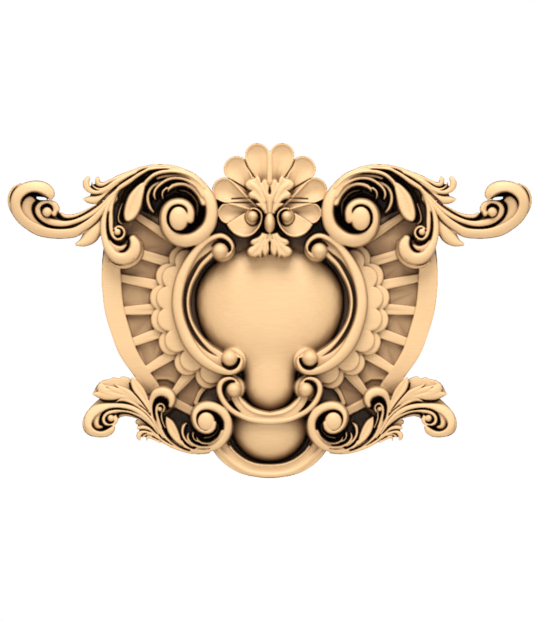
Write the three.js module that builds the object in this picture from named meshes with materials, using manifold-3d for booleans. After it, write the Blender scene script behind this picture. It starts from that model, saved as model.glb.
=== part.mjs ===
// A carved rococo cartouche for a wall or a piece of furniture: one piece of pale hardwood, flat behind.
// Millimetres. X runs along the panel, Z is up, the carved front faces -Y and the flat back is y = 0.
// The carving is the same on both sides of the centre line, so each form is made once and mirrored.

import * as THREE from 'three';
import { mergeVertices } from 'three/addons/utils/BufferGeometryUtils.js';
import Module from 'manifold-3d';

const wasm = await Module();
wasm.setup();

// Driving dimensions
const panelWidth = 524; // over the two outer hooks
const carvingRelief = 38; // from the ground to the crown of the volute's eye
const groundThickness = 14; // the board that carries the carving

// Flat mouldings, as heights above the ground
const rimRise = 8;
const barRise = 5;
const scallopRise = 9;
const scallopStep = 4; // the inner row of scallops stands this much over the outer row
const fieldRise = 20; // crown of the domed field in the middle

// The free carving is drawn on a grid this wide, with rises up to this one, and scaled to the sizes above
const drawnWidth = 524;
const drawnRelief = 38;
const unit = panelWidth / drawnWidth;
const lift = carvingRelief / drawnRelief;

// What stands on the board starts halfway through it
const inBoard = groundThickness / 2;

// Sections of a carved strand: [place across, -1 to 1, share of the strand's rise]
const ridgeSection = [[-0.5, 1], [0.5, 1]];
const roundSection = [[-1, 0.4], [0, 1], [1, 0.4]];
const hollowSection = [[-1, 1], [0, 0.55], [1, 1]];
const flatSection = [[-1, 1], [1, 1]];

// Each strand is a list of stations: [out from the centre line, up, half width, rise].
// Broad ones that make the panel's edge stand on its back plane, with a round section
const edgeStrands = {
  upperVolute: [
    [104, 142, 2, 20], [82, 136, 4, 24.5], [65, 119.5, 6, 28], [58.5, 96, 6.8, 30], [68, 74, 7, 30],
    [85.5, 69.5, 7, 30], [101, 78, 5.2, 30], [105, 96, 3.2, 32], [95, 108, 2.8, 33.5], [80.5, 101, 3, 34],
    [81.5, 85.5, 3, 33],
  ],
  lowerVolute: [
    [87, -136, 1.5, 16], [64, -139, 2.5, 20], [47, -128, 4.1, 25.5], [43.5, -107, 4.4, 27.5],
    [59, -95.3, 4.5, 28], [73, -101, 3.4, 28.5], [73.5, -115, 2, 29], [64, -120.9, 1.5, 30],
    [56.6, -112.7, 2.4, 30],
  ],
  upperHook: [
    [153, 117, 1.5, 16], [167, 99.5, 3, 18], [184, 83.5, 4.7, 19], [211, 77, 5.1, 20],
    [243, 87, 6.2, 23], [255.5, 105.5, 6.3, 26], [251, 119, 5.7, 29], [236, 124.3, 5.4, 30.5],
    [219, 116, 4.2, 29],
  ],
  upperPod: [[194.8, 66.5, 0.8, 9.5], [181, 73.7, 6.2, 12.5], [174, 80.5, 6, 13], [168.5, 88.5, 3.5, 13]],
  upperBranch: [
    [144, 127, 1.5, 17], [161, 104, 2.6, 18], [165, 76, 3.3, 20], [150, 53.3, 5.8, 25],
    [137, 57, 5.9, 27], [137, 71, 3.4, 26],
  ],
  lowerHook: [
    [98, -133, 1.5, 14], [112, -118, 2.2, 16], [129, -100.5, 3.1, 18], [155, -95.3, 3.1, 19],
    [173, -99, 4.5, 21.5], [181.5, -111.3, 4.7, 24.5], [175, -122.5, 3.9, 26.5], [161, -122.3, 3.3, 26],
    [157, -116.3, 2.4, 24],
  ],
  lowerLeaf: [
    [121, -104, 1.4, 16], [142, -88.3, 3.2, 18], [155, -84.7, 4.6, 18.5], [166.5, -83.5, 5, 18.5],
    [177.2, -83.5, 0.8, 16.5],
  ],
  outerPod: [[137.8, -67.1, 0.8, 12], [129.6, -80.4, 5.2, 14], [125.1, -87.9, 4.2, 14], [121, -96.5, 1.8, 13.5]],
};

// Thin ones along the edge, with a narrow flat crest
const edgeRidges = {
  armVolute: [
    [142, 128.5, 1.4, 16], [160, 113, 1.8, 17], [177, 96.5, 2.4, 18], [203, 86.5, 2.7, 19],
    [229, 95, 3.2, 21], [225, 108.3, 2.2, 23], [214, 100, 3.5, 22],
  ],
  lowerArmVolute: [
    [118, -113.5, 1.3, 14.5], [140, -101.3, 1.7, 16.5], [165, -107.5, 1.9, 19.5], [158.6, -114.3, 1.7, 20],
    [153, -107.3, 1.8, 18.5],
  ],
  topEdge: [
    [67, 126, 1.8, 25], [88, 141, 1.8, 22], [112, 144, 2, 19], [140, 137, 2, 17], [168, 126, 2.2, 15.5],
    [172, 134, 0.9, 15],
  ],
  curledTip: [
    [149, 127, 1.5, 14], [176, 119, 2.8, 16], [184, 125, 3.4, 18], [181, 133, 0.9, 17.5],
  ],
  leafTip: [[156, 121, 1.2, 12.5], [175, 111, 4, 13.5], [186, 111.3, 0.6, 12]],
  bottomEdge: [[55, -140, 1.5, 12], [80, -140.7, 1.7, 12], [102, -133.3, 1.8, 12], [110, -129, 1.6, 12]],
  leafUpper: [[132, -91.5, 1.6, 17], [154, -77.5, 2.8, 18.5], [163.6, -74.5, 0.8, 17.5]],
  lowerTip: [[107, -129, 1.2, 11], [123, -120.9, 1.8, 12.5], [131.4, -125.9, 2.4, 13], [130.2, -129.3, 0.8, 12.5]],
  bellyRoll: [[51, -139.5, 2.2, 12], [35, -156.5, 2.2, 13], [12, -165, 2.2, 13], [-2, -165.3, 2.2, 13]],
};

// Broad ones that stand on the board
const innerStrands = {
  highPod: [[123.2, 129.3, 2.4, 12], [135, 111, 7.8, 14.5], [138, 101, 7.2, 14.5], [143.2, 90.7, 1, 12.5]],
  upperCollar: [[158, 54.5, 4, 13], [149, 49, 5, 14.5], [139, 51, 5.5, 14.5], [131.5, 62, 4, 13]],
  innerPod: [[102.6, -106.7, 1, 11], [97, -117, 5.3, 13.3], [92.6, -128.1, 3.8, 13], [89.2, -132.5, 1.2, 12.5]],
  lowerBranch: [
    [107, -125.5, 1.3, 15], [117.2, -104.5, 2, 17], [116.8, -86.1, 3.3, 20.5], [105.5, -79.7, 4.3, 24.5],
    [97.8, -89.1, 3.6, 25], [99, -93.7, 2.2, 24],
  ],
  cScrollRoll: [
    [38.6, 59, 1.2, 20], [38.5, 68, 1.7, 21.5], [47, 73.6, 2.1, 23], [63, 69, 2.9, 24],
    [80, 51, 3.5, 25], [91, 24, 3.7, 25], [90.5, -6, 3.7, 25], [80, -31, 3.6, 25], [63, -49.5, 3.2, 25],
    [45, -60, 2.5, 24], [33, -59.5, 1.8, 22.5], [29.4, -50.5, 1.3, 21],
  ],
  topLobe: [[3, 100.5, 1.6, 23], [5.4, 112.5, 3, 24.5], [10.2, 121.9, 4.8, 25.5], [24, 127.3, 1.2, 23.5]],
  middleLobe: [[3.4, 102.5, 1.6, 23], [7.4, 111.1, 3, 24], [14, 115.7, 3.4, 24], [20, 117.1, 1.4, 22.5]],
  downLobe: [[2.6, 78.5, 1.4, 23], [6.2, 70.9, 2.8, 24], [12.4, 63.7, 4.6, 24.5], [21.6, 57.1, 1.2, 22.5]],
};

// Thin ones that stand on the board
const innerRidges = {
  branchVolute: [
    [144, 124.5, 1.3, 14], [156.5, 102.5, 2.6, 15], [158.5, 80.5, 2.2, 16], [148, 73, 1.9, 18],
    [151, 81, 2.6, 19],
  ],
  cupMiddle: [
    [66, 114.5, 1.6, 24], [88, 131.5, 1.7, 19], [111.5, 128, 1.9, 16.5], [122, 112.5, 2.1, 15.5],
    [117, 99, 1, 13.5],
  ],
  lowerCup: [[84.2, -113.5, 1.2, 13], [86.2, -126.5, 1.5, 14.5], [77, -135.2, 1.4, 15.5], [53, -133, 1.3, 20]],
  lowerRoll: [
    [35.5, -70.7, 1.2, 19], [43.5, -70.5, 1.6, 20.5], [48.4, -80.1, 2, 21.5], [42, -93.5, 2.5, 21.5],
    [29, -104.7, 2.6, 21], [15, -110.3, 2.6, 20.5], [-2, -112.3, 2.6, 20],
  ],
  shellRoll: [
    [45, 86, 1.6, 15], [37, 77.5, 2, 16], [24, 74.6, 2.1, 17], [12, 81.5, 1.9, 19], [7.6, 92.1, 1.6, 22],
    [11, 100.5, 1.5, 23.5], [19.6, 101.1, 1.2, 25],
  ],
};

// Broad hollow mouldings under the rolls
const hollows = {
  cScroll: [
    [54, 65, 6, 18], [65, 58.5, 9, 20], [80.5, 39.5, 9, 20], [88.3, 16.5, 8.2, 20], [88.3, 4, 7.8, 20],
    [85.5, -9.5, 7.7, 20], [73, -33, 8, 20], [55, -48.5, 9.4, 20], [46, -53, 7, 19],
  ],
  belly: [[49, -136.2, 8, 11], [34.5, -151.5, 7.5, 11], [13, -160.5, 6.3, 11], [-2, -161.8, 6, 11]],
  lower: [[34, -88.5, 3, 14], [29, -94.5, 5, 16], [11, -105.9, 5.2, 17], [-2, -107.5, 5.2, 17]],
};

// Low wood that carries the strands on from the board, and lies behind the leaves
const webs = {
  upperArm: [
    [146, 120, 7, 4], [168, 100, 9, 5], [190, 88, 8, 6], [218, 87, 9, 6], [243, 98, 9, 7],
    [232, 115, 8, 8],
  ],
  upperTips: [[146, 124, 5, 4], [178, 117, 5, 5]],
  lowerArm: [
    [104, -122, 6, 5], [116, -104, 8, 6], [134, -92, 9, 6], [158, -88, 9, 6], [172, -101, 9, 6],
    [168, -115, 6, 7],
  ],
  lowerSpray: [[138, -76.5, 4, 7], [143.5, -73, 6.2, 9], [161, -73.3, 5.6, 11], [173, -80.5, 1.5, 7]],
  lowerTips: [[100, -135.5, 3, 6], [129, -120.5, 4, 7]],
};
const leafGrounds = {
  upper: [[2, 104, 4, 18], [6, 114, 7, 19], [10, 122, 8, 19], [16, 126, 5, 19]],
  lower: [[3, 76, 3, 18], [8, 66, 6, 19], [13, 60, 5, 19]],
};

// The flat rim that closes the frame, and the bars that run in from it, wider towards the scallops
const rim = [
  [158, 51.5, 8.5], [158.5, 35, 9.5], [157.5, 18, 9.7], [155, -1, 9.6], [149.5, -20, 9.5],
  [142.5, -40, 9], [132, -58.5, 8.7], [124, -68, 8],
];
const bars = [
  [[130.5, 93, 3.8], [102, 74.5, 5]],
  [[129.5, 56.5, 5], [104, 49, 5.3]],
  [[150, 32.8, 4.2], [115, 26, 5.4]],
  [[148, -0.5, 4.3], [117, 1.4, 5.8]],
  [[140, -33, 4.6], [111, -22.5, 5.4]],
  [[124, -60.5, 4.3], [99, -45, 5.8]],
  [[95, -81.5, 3.8], [82, -66, 6]],
  [[96, -91.5, 4.5], [74, -103, 4.5]],
];

// Two rows of scallops stand on a curve about this point: they fall in from its widest radius both ways
const scallops = { up: 2.5, radius: 120.3, fall: 0.0067, widest: -6, first: -29.5, step: 12, count: 8 };
const scallopSize = { outerRow: 13, innerRow: 12, setIn: 6.5, arc: 58, points: 4 };

// Domes and beads: [out, up, half width, half height up, half height down, rise]
const domes = {
  field: [0, 10.5, 75, 57, 75, fieldRise],
  lowerField: [0, -74.5, 27, 30, 27, fieldRise * 0.65],
  belly: [0, -113.5, 42, 41, 41, fieldRise * 0.75],
  ovalBead: [0, 87.5, 5.5, 11, 11, 34],
};
const sideBeads = {
  voluteEye: [91.5, 92, 9, 9, 9, drawnRelief],
  lowerEye: [64.5, -111, 7, 7, 7, 33],
  topBead: [49, 60.5, 8.5, 8.5, 8.5, 29],
  bottomBead: [40, -48, 8.5, 8.5, 8.5, 29],
  lowerBead: [35.5, -79, 8, 8, 8, 27],
  shellBead: [17.5, 94.5, 6, 6, 6, 30],
  rolledLobe: [26, 87, 16, 15, 12, 14],
};
const neck = [[0, -15, 44, 15], [0, -45, 33, 13.5], [0, -74, 25, 12]];

// Lobes of the shell: hinge and the middle of the round end, [out, up], its radius and its rise
const shellLobes = [
  { hinge: [2, 104], end: [12.2, 155.3], radius: 12.2, rise: 19 },
  { hinge: [8, 98.5], end: [32.5, 141.5], radius: 13, rise: 18.5 },
  { hinge: [8, 98.5], end: [45, 120.5], radius: 12.5, rise: 18 },
  { hinge: [8, 97], end: [41, 97.5], radius: 11, rise: 17.5 },
];

// Edge of the board from the top of the centre line down to its foot, the belly's part a smooth curve
const boardEdge = [
  [0, 112], [50, 112], [67, 126], [88, 141], [112, 144], [140, 137], [152, 127], [163, 92], [167, 35.5],
  [164.5, 5.5], [158, -22.5], [146, -47.5], [134, -68], [112, -100], [87, -132], [57, -140],
];
const bellyEdge = [[57, -140], [42, -155.5], [22, -165.3], [0, -167.5]];

// Points on a smooth curve through the stations, with this many steps from one station to the next
function smooth(stations, steps) {
  const last = stations.length - 1;
  const points = [];
  for (let i = 0; i < last; i += 1) {
    const near = [stations[Math.max(i - 1, 0)], stations[i], stations[i + 1], stations[Math.min(i + 2, last)]];
    for (let step = 0; step < steps; step += 1) {
      const t = step / steps;
      points.push(near[1].map((value, k) => {
        const [a, b, c, d] = near.map((station) => station[k]);
        return b + 0.5 * t * (c - a + t * (2 * a - 5 * b + 4 * c - d + t * (3 * (b - c) + d - a)));
      }));
    }
  }
  points.push(stations[last]);
  return points;
}

// A closed mesh from rings of points that follow each other, its two ends fanned from their first point
function skin(rings) {
  const size = rings[0].length;
  const indices = [];
  for (let i = 0; i < rings.length - 1; i += 1) {
    for (let k = 0; k < size; k += 1) {
      const a = i * size + k;
      const b = i * size + ((k + 1) % size);
      indices.push(a, b, a + size, b, b + size, a + size);
    }
  }
  const lastRing = (rings.length - 1) * size;
  for (let k = 1; k < size - 1; k += 1) {
    indices.push(0, k + 1, k);
    indices.push(lastRing, lastRing + k, lastRing + k + 1);
  }
  const geometry = new THREE.BufferGeometry();
  geometry.setAttribute('position', new THREE.Float32BufferAttribute(rings.flat(2), 3));
  geometry.setIndex(indices);
  return geometry;
}

// A place on the drawing and a height over the wall, as a point of the panel
function place(out, up, height) {
  return [out * unit, -height, up * unit];
}

// A strand that stands at this height over the wall and follows its stations with the given section
function strand(path, section, foot) {
  const rings = path.map(([out, up, halfWidth, rise], i) => {
    const before = path[Math.max(i - 1, 0)];
    const after = path[Math.min(i + 1, path.length - 1)];
    const along = new THREE.Vector2(after[0] - before[0], after[1] - before[1]).normalize();
    const across = (share) => [out - along.y * halfWidth * share, up + along.x * halfWidth * share];
    const crest = section.map(([share, height]) => (
      place(...across(share), groundThickness + rise * height * lift)
    ));
    return [place(...across(-1), foot), ...crest, place(...across(1), foot)];
  });
  return skin(rings);
}

// A dome with an upright foot in the board, its half height different above and below
function dome([out, up, halfWidth, halfUp, halfDown, rise], sides, rows) {
  const outline = (share, height) => Array.from({ length: sides }, (_, k) => {
    const turn = (k / sides) * Math.PI * 2;
    const reach = Math.sin(turn) > 0 ? halfUp : halfDown;
    return place(out + Math.cos(turn) * halfWidth * share, up + Math.sin(turn) * reach * share, height);
  });
  const shoulder = groundThickness + rise * lift * 0.3;
  const rings = [outline(1, inBoard), outline(1, shoulder)];
  for (let row = 1; row < rows; row += 1) {
    const angle = (row / rows) * Math.PI * 0.5;
    rings.push(outline(Math.cos(angle), shoulder + rise * lift * 0.7 * Math.sin(angle)));
  }
  rings.push(outline(0.25, groundThickness + rise * lift));
  return skin(rings);
}

// A flat-topped piece: its outline, and its top above the wall
function slab(outline, height) {
  const shape = new THREE.Shape(outline.map(([out, up]) => new THREE.Vector2(out * unit, up * unit)));
  const geometry = new THREE.ExtrudeGeometry(shape, { depth: height, bevelEnabled: false });
  geometry.rotateX(Math.PI / 2);
  return geometry;
}

// A lobe of the shell: hollow, widening from its hinge to a round end
function shellLobe({ hinge, end, radius, rise }) {
  const toEnd = (share) => hinge.map((value, k) => value + (end[k] - value) * share);
  const length = Math.hypot(end[0] - hinge[0], end[1] - hinge[1]);
  const stations = [[...hinge, radius * 0.12, rise]];
  for (const angle of [0, 45, 82]) {
    const turn = THREE.MathUtils.degToRad(angle);
    const reach = toEnd(1 + (Math.sin(turn) * radius) / length);
    stations.push([...reach, radius * Math.max(Math.cos(turn), 0.1), rise]);
  }
  return strand(stations, hollowSection, 0);
}

// A row of scallops in one piece: an arc for each, and a smooth inner edge
function scallopRow(radius, setIn, top) {
  const outerEdge = [];
  const innerEdge = [];
  for (let k = 0; k < scallops.count; k += 1) {
    const angle = scallops.first + scallops.step * k;
    const reach = scallops.radius - scallops.fall * (angle - scallops.widest) ** 2 - setIn - radius;
    const turn = THREE.MathUtils.degToRad(angle);
    innerEdge.unshift([Math.cos(turn) * (reach - radius), scallops.up - Math.sin(turn) * (reach - radius)]);
    for (let point = 0; point < scallopSize.points; point += 1) {
      const bend = scallopSize.arc * ((2 * point) / (scallopSize.points - 1) - 1);
      const way = turn + THREE.MathUtils.degToRad(bend);
      outerEdge.push([
        Math.cos(turn) * reach + Math.cos(way) * radius,
        scallops.up - Math.sin(turn) * reach - Math.sin(way) * radius,
      ]);
    }
  }
  return slab([...outerEdge, ...innerEdge], top);
}

// Joins and copies, on closed meshes whose shared corners are merged
function solid(geometry) {
  const bare = geometry.clone();
  bare.deleteAttribute('normal');
  bare.deleteAttribute('uv');
  const merged = mergeVertices(bare, 1e-4);
  const index = Array.from(merged.index.array);
  const at = (corner) => new THREE.Vector3().fromBufferAttribute(merged.attributes.position, corner);
  let volume = 0;
  for (let i = 0; i < index.length; i += 3) {
    volume += at(index[i]).dot(at(index[i + 1]).cross(at(index[i + 2])));
  }
  if (volume < 0) {
    index.reverse();
  }
  return new wasm.Manifold(new wasm.Mesh({
    numProp: 3,
    vertProperties: new Float32Array(merged.attributes.position.array),
    triVerts: new Uint32Array(index),
  }));
}

function mirrored(geometry) {
  return geometry.clone().scale(-1, 1, 1);
}

function boardOutline() {
  const half = [...boardEdge.slice(0, -1), ...smooth(bellyEdge, 2)];
  const other = half.slice(1, -1).reverse().map(([out, up]) => [-out, up]);
  return [...half, ...other];
}

const middleForms = [
  slab(boardOutline(), groundThickness),
  dome(domes.field, 24, 3),
  dome(domes.lowerField, 12, 2),
  dome(domes.belly, 20, 2),
  dome(domes.ovalBead, 8, 2),
  strand(neck, roundSection, inBoard),
];

const each = (strands, section, foot) => Object.values(strands).map((list) => strand(list, section, foot));
const raised = (stations, rise) => stations.map((station) => [...station, rise / lift]);
const sideForms = [
  strand(raised(rim, rimRise), flatSection, 0),
  ...bars.map((bar) => strand(raised(bar, barRise), flatSection, inBoard)),
  scallopRow(scallopSize.outerRow, 0, groundThickness + scallopRise),
  scallopRow(scallopSize.innerRow, scallopSize.setIn, groundThickness + scallopRise + scallopStep),
  ...shellLobes.map(shellLobe),
  ...each(webs, flatSection, 0),
  ...each(leafGrounds, flatSection, inBoard),
  ...each(hollows, hollowSection, inBoard),
  ...each(edgeStrands, roundSection, 0),
  ...each(edgeRidges, ridgeSection, 0),
  ...each(innerStrands, roundSection, inBoard),
  ...each(innerRidges, ridgeSection, inBoard),
  ...Object.values(sideBeads).map((bead) => dome(bead, 8, 2)),
];

let carving = solid(middleForms[0]);
for (const form of [...middleForms.slice(1), ...sideForms, ...sideForms.map(mirrored)]) {
  carving = carving.add(solid(form));
}

const result = carving.getMesh();
const geometry = new THREE.BufferGeometry();
geometry.setAttribute('position', new THREE.Float32BufferAttribute(result.vertProperties, 3));
geometry.setIndex(Array.from(result.triVerts));
geometry.computeVertexNormals();

const paleHardwood = new THREE.MeshStandardMaterial({ color: 0xe6c093, roughness: 0.55, metalness: 0 });
const panel = new THREE.Mesh(geometry, paleHardwood);
panel.name = 'cartouche_panel';

const cartouche = new THREE.Group();
cartouche.add(panel);

export default cartouche;
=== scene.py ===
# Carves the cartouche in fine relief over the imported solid: one pale wooden piece with a flat back.
# Places are read off a drawing of its left half, in mm across and down; the centre line is at 270 across.
# Every form is laid on a height map, the higher wood wins, and the map becomes one closed mesh.

import math

import bpy
import numpy as np
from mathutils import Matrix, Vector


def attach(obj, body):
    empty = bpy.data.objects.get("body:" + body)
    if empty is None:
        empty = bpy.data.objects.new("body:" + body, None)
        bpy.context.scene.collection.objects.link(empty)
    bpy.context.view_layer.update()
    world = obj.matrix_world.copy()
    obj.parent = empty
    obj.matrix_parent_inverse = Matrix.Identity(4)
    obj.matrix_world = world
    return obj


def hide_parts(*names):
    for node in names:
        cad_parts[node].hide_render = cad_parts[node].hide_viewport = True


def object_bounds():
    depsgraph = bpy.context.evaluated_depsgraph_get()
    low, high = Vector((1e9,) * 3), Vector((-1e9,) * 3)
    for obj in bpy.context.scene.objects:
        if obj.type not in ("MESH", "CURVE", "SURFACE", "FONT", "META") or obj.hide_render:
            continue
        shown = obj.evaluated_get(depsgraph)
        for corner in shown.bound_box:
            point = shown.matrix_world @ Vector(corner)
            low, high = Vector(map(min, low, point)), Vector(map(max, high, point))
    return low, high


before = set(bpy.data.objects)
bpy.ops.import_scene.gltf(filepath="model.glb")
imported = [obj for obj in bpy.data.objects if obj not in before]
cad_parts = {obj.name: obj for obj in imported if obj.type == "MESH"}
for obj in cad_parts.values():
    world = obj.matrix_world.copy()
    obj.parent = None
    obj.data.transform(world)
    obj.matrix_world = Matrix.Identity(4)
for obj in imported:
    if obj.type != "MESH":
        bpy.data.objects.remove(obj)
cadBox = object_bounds()
mm = 0.001

panel = {
    "node": "cartouche_panel",
    "middle": [270, 310.5],  # the drawing's place for the panel's own middle
    "ground": 14,            # the board that carries the carving; a form's rise is counted from here
    "step": 0.5,   # spacing of the height map's points
    "halfWidth": 264,
    "halfHeight": 170,
    "sideSlope": 14,         # a form's side falls this many mm in one
    "softening": 3,          # passes of sanding over the sharp corners
    "thinnest": 3,           # wood left at least
    "narrowest": 0.35,       # half width that a strand keeps where its curve would pinch it
    "creaseWidth": 0.8,      # shares of the drawn creases, which are read off their shadows
    "creaseDepth": 0.55,
    "triangles": 190000,
    "smoothUnder": 55,       # degrees between faces that shade as one surface
}
noWood = -1000.0             # the map's height and its cover where nothing is laid


# The height map, measured out from the centre line and up

columnsOut = np.arange(0, panel["halfWidth"] + panel["step"], panel["step"])
rowsUp = np.arange(-panel["halfHeight"], panel["halfHeight"] + panel["step"], panel["step"])
outMap, upMap = np.meshgrid(columnsOut, rowsUp)
relief = np.full(outMap.shape, noWood)   # height of the wood over the back
cover = np.full(outMap.shape, noWood)    # how far inside the panel's edge, negative outside


def placed(points):
    points = np.array(points, float)
    points[:, :2] = panel["middle"] - points[:, :2]
    return points


def windowAround(lowOut, highOut, lowUp, highUp):
    step = panel["step"]
    firstRow = max(int((lowUp + panel["halfHeight"]) / step), 0)
    lastRow = max(int((highUp + panel["halfHeight"]) / step) + 2, 0)
    firstColumn = max(int(lowOut / step), 0)
    lastColumn = max(int(highOut / step) + 2, 0)
    return slice(firstRow, lastRow), slice(firstColumn, lastColumn)


def layOn(window, height, inside):
    relief[window] = np.maximum(relief[window], height)
    cover[window] = np.maximum(cover[window], inside)


def curveThrough(stations, spacing=1.5):
    points = placed(stations)
    points = np.vstack([2 * points[0] - points[1], points, 2 * points[-1] - points[-2]])
    path = []
    for a, b, c, d in zip(points, points[1:], points[2:], points[3:]):
        count = max(2, int(math.hypot(*(c - b)[:2]) / spacing))
        for t in np.arange(count) / count:
            path.append(b + 0.5 * t * (c - a + t * (2 * a - 5 * b + 4 * c - d + t * (3 * (b - c) + d - a))))
    path.append(points[-2])
    path = np.array(path)
    path[:, 2] = np.maximum(path[:, 2], panel["narrowest"])
    return path


# Where each point of the map stands across a strand: the share of the half width, and on which side.
# The positive side is the left hand of someone walking along the strand.

def measureStrand(stations, margin=2.5):
    path = curveThrough(stations)
    reach = path[:, 2].max() + margin + 0.5
    window = windowAround(path[:, 0].min() - reach, path[:, 0].max() + reach,
                          path[:, 1].min() - reach, path[:, 1].max() + reach)
    out, up = outMap[window], upMap[window]
    share = np.full(out.shape, 9.0)   # far outside
    side = np.ones(out.shape)
    width = np.ones(out.shape)
    rise = np.zeros(out.shape)
    firstRow, firstColumn = window[0].start, window[1].start
    for a, b in zip(path, path[1:]):
        length = math.hypot(b[0] - a[0], b[1] - a[1])
        if length < 1e-6:
            continue
        alongOut, alongUp = (b[0] - a[0]) / length, (b[1] - a[1]) / length
        near = max(a[2], b[2]) + margin
        rows, columns = windowAround(min(a[0], b[0]) - near, max(a[0], b[0]) + near,
                                     min(a[1], b[1]) - near, max(a[1], b[1]) + near)
        part = (slice(max(rows.start - firstRow, 0), max(rows.stop - firstRow, 0)),
                slice(max(columns.start - firstColumn, 0), max(columns.stop - firstColumn, 0)))
        fromOut, fromUp = out[part] - a[0], up[part] - a[1]
        t = np.clip((fromOut * alongOut + fromUp * alongUp) / length, 0, 1)
        halfWidth = a[2] + t * (b[2] - a[2])
        offset = np.hypot(fromOut - t * length * alongOut, fromUp - t * length * alongUp) / halfWidth
        closer = offset < share[part]
        share[part] = np.where(closer, offset, share[part])
        side[part] = np.where(closer, np.sign(fromOut * alongUp - fromUp * alongOut + 1e-9), side[part])
        width[part] = np.where(closer, halfWidth, width[part])
        rise[part] = np.where(closer, a[3] + t * (b[3] - a[3]), rise[part])
    return window, share, side, width, rise


# A strand is round on top; its crest may lean to one side and it may be dished or flat

def layStrand(stations, crest=0.0, fall=0.7, dish=0.0):
    window, share, side, width, rise = measureStrand(stations)
    inside = (1 - share) * width
    across = side * np.minimum(share, 1) - crest
    across = across / np.where(across > 0, 1 - crest, 1 + crest)
    drop = fall * width * (1 - np.sqrt(np.clip(1 - across * across, 0, 1)))
    drop = drop + dish * width * np.exp(-(across / 0.5) ** 2)
    layOn(window, panel["ground"] + rise - drop + np.minimum(inside, 0) * panel["sideSlope"], inside)


# A crease is cut out of what already stands there

def cutLine(stations):
    window, share, side, width, rise = measureStrand(stations)
    relief[window] -= rise * panel["creaseDepth"] * np.clip(1 - (share / panel["creaseWidth"]) ** 2, 0, 1)


def evenly(halfWidth, rise, *points):
    return [[across, down, halfWidth, rise] for across, down in points]


# How far inside a closed outline each point of the map is, negative outside

def insideOutline(points, margin=4):
    corners = placed(points)
    window = windowAround(corners[:, 0].min() - margin, corners[:, 0].max() + margin,
                          corners[:, 1].min() - margin, corners[:, 1].max() + margin)
    out, up = outMap[window], upMap[window]
    within = np.zeros(out.shape, bool)
    distance = np.full(out.shape, 1000.0)
    for (aOut, aUp), (bOut, bUp) in zip(corners, np.roll(corners, -1, axis=0)):
        length = math.hypot(bOut - aOut, bUp - aUp)
        t = ((out - aOut) * (bOut - aOut) + (up - aUp) * (bUp - aUp)) / length ** 2
        t = np.clip(t, 0, 1)
        away = np.hypot(out - aOut - t * (bOut - aOut), up - aUp - t * (bUp - aUp))
        distance = np.minimum(distance, away)
        if aUp != bUp:
            crosses = (aUp > up) != (bUp > up)
            within ^= crosses & (out < aOut + (up - aUp) * (bOut - aOut) / (bUp - aUp))
    return window, np.where(within, distance, -distance)


def layPlate(points, rise, bevel=1.5):
    window, inside = insideOutline(points)
    edge = 1 - np.clip(inside / bevel, 0, 1)
    drop = bevel * (1 - np.sqrt(1 - edge * edge))
    layOn(window, panel["ground"] + rise - drop + np.minimum(inside, 0) * panel["sideSlope"], inside)


def lowerGround(points, height, slope=1.6):
    window, inside = insideOutline(points)
    lowered = np.maximum(height, panel["ground"] - np.clip(inside, 0, None) * slope)
    relief[window] = np.where(inside > 0, np.minimum(relief[window], lowered), relief[window])


# A dome springs from a foot, which is a share of its rise

def layDome(across, down, halfWidth, halfHeight, rise, fullness=0.5, foot=0.3, margin=3):
    out, up = panel["middle"][0] - across, panel["middle"][1] - down
    reach = max(halfWidth, halfHeight) + margin
    window = windowAround(out - reach, out + reach, up - reach, up + reach)
    radius = np.hypot((outMap[window] - out) / halfWidth, (upMap[window] - up) / halfHeight)
    inside = (1 - radius) * min(halfWidth, halfHeight)
    crown = np.clip(1 - radius * radius, 0, 1) ** fullness
    height = panel["ground"] + rise * (foot + (1 - foot) * crown)
    layOn(window, height + np.minimum(inside, 0) * panel["sideSlope"], inside)


# The board's own edge, and the hollows cut deep into it behind the scrolls

board = {
    "edge": [
        [290, 198.5], [270, 198.5], [220, 198.5], [203, 184.5], [192, 175.5], [182, 169.5], [170, 167],
        [158, 166.5], [143, 169], [130, 173.5], [118, 183.5], [107, 218.5], [102.5, 260.5], [102, 275],
        [103, 290], [105, 305], [108, 320], [112, 333], [118, 347], [124, 358], [130, 369], [136, 378.5],
        [158, 410.5], [183, 442.5], [213, 450.5], [220, 459], [228, 466], [238, 472], [250, 476],
        [262, 477.7], [270, 478], [290, 478],
    ],
    "hollowFloor": 4.5,
    "hollows": [
        [[143, 187], [150, 178], [165, 174], [180, 174], [195, 183], [203, 195], [206, 208], [203, 222],
         [197, 230], [192, 222], [190, 205], [178, 199], [168, 203], [162, 212], [161, 222], [150, 214],
         [143, 212], [141, 205]],
        [[117, 226], [117, 212], [121, 196], [128, 184], [140, 174], [146, 172], [146, 180], [135, 187],
         [127, 198], [125, 215], [127, 222]],
        [[162, 425], [166, 414], [172, 408], [182, 404], [192, 408], [192, 420], [197, 431], [206, 435],
         [214, 432], [217, 424], [216, 416], [222, 414], [226, 424], [223, 434], [215, 443], [205, 447],
         [192, 446], [180, 443], [170, 436]],
        [[131, 380], [150, 386], [153, 381.5], [159, 379], [168, 379], [175.5, 383], [179, 390], [178, 398],
         [165, 400], [150, 400], [140, 392]],
    ],
}

window, inside = insideOutline(board["edge"])
layOn(window, np.where(inside > -1, panel["ground"], noWood), inside)
for hollow in board["hollows"]:
    lowerGround(hollow, board["hollowFloor"])
print("board laid")


# The flat rim, the bars that run in from it, and two rows of scallops

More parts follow.
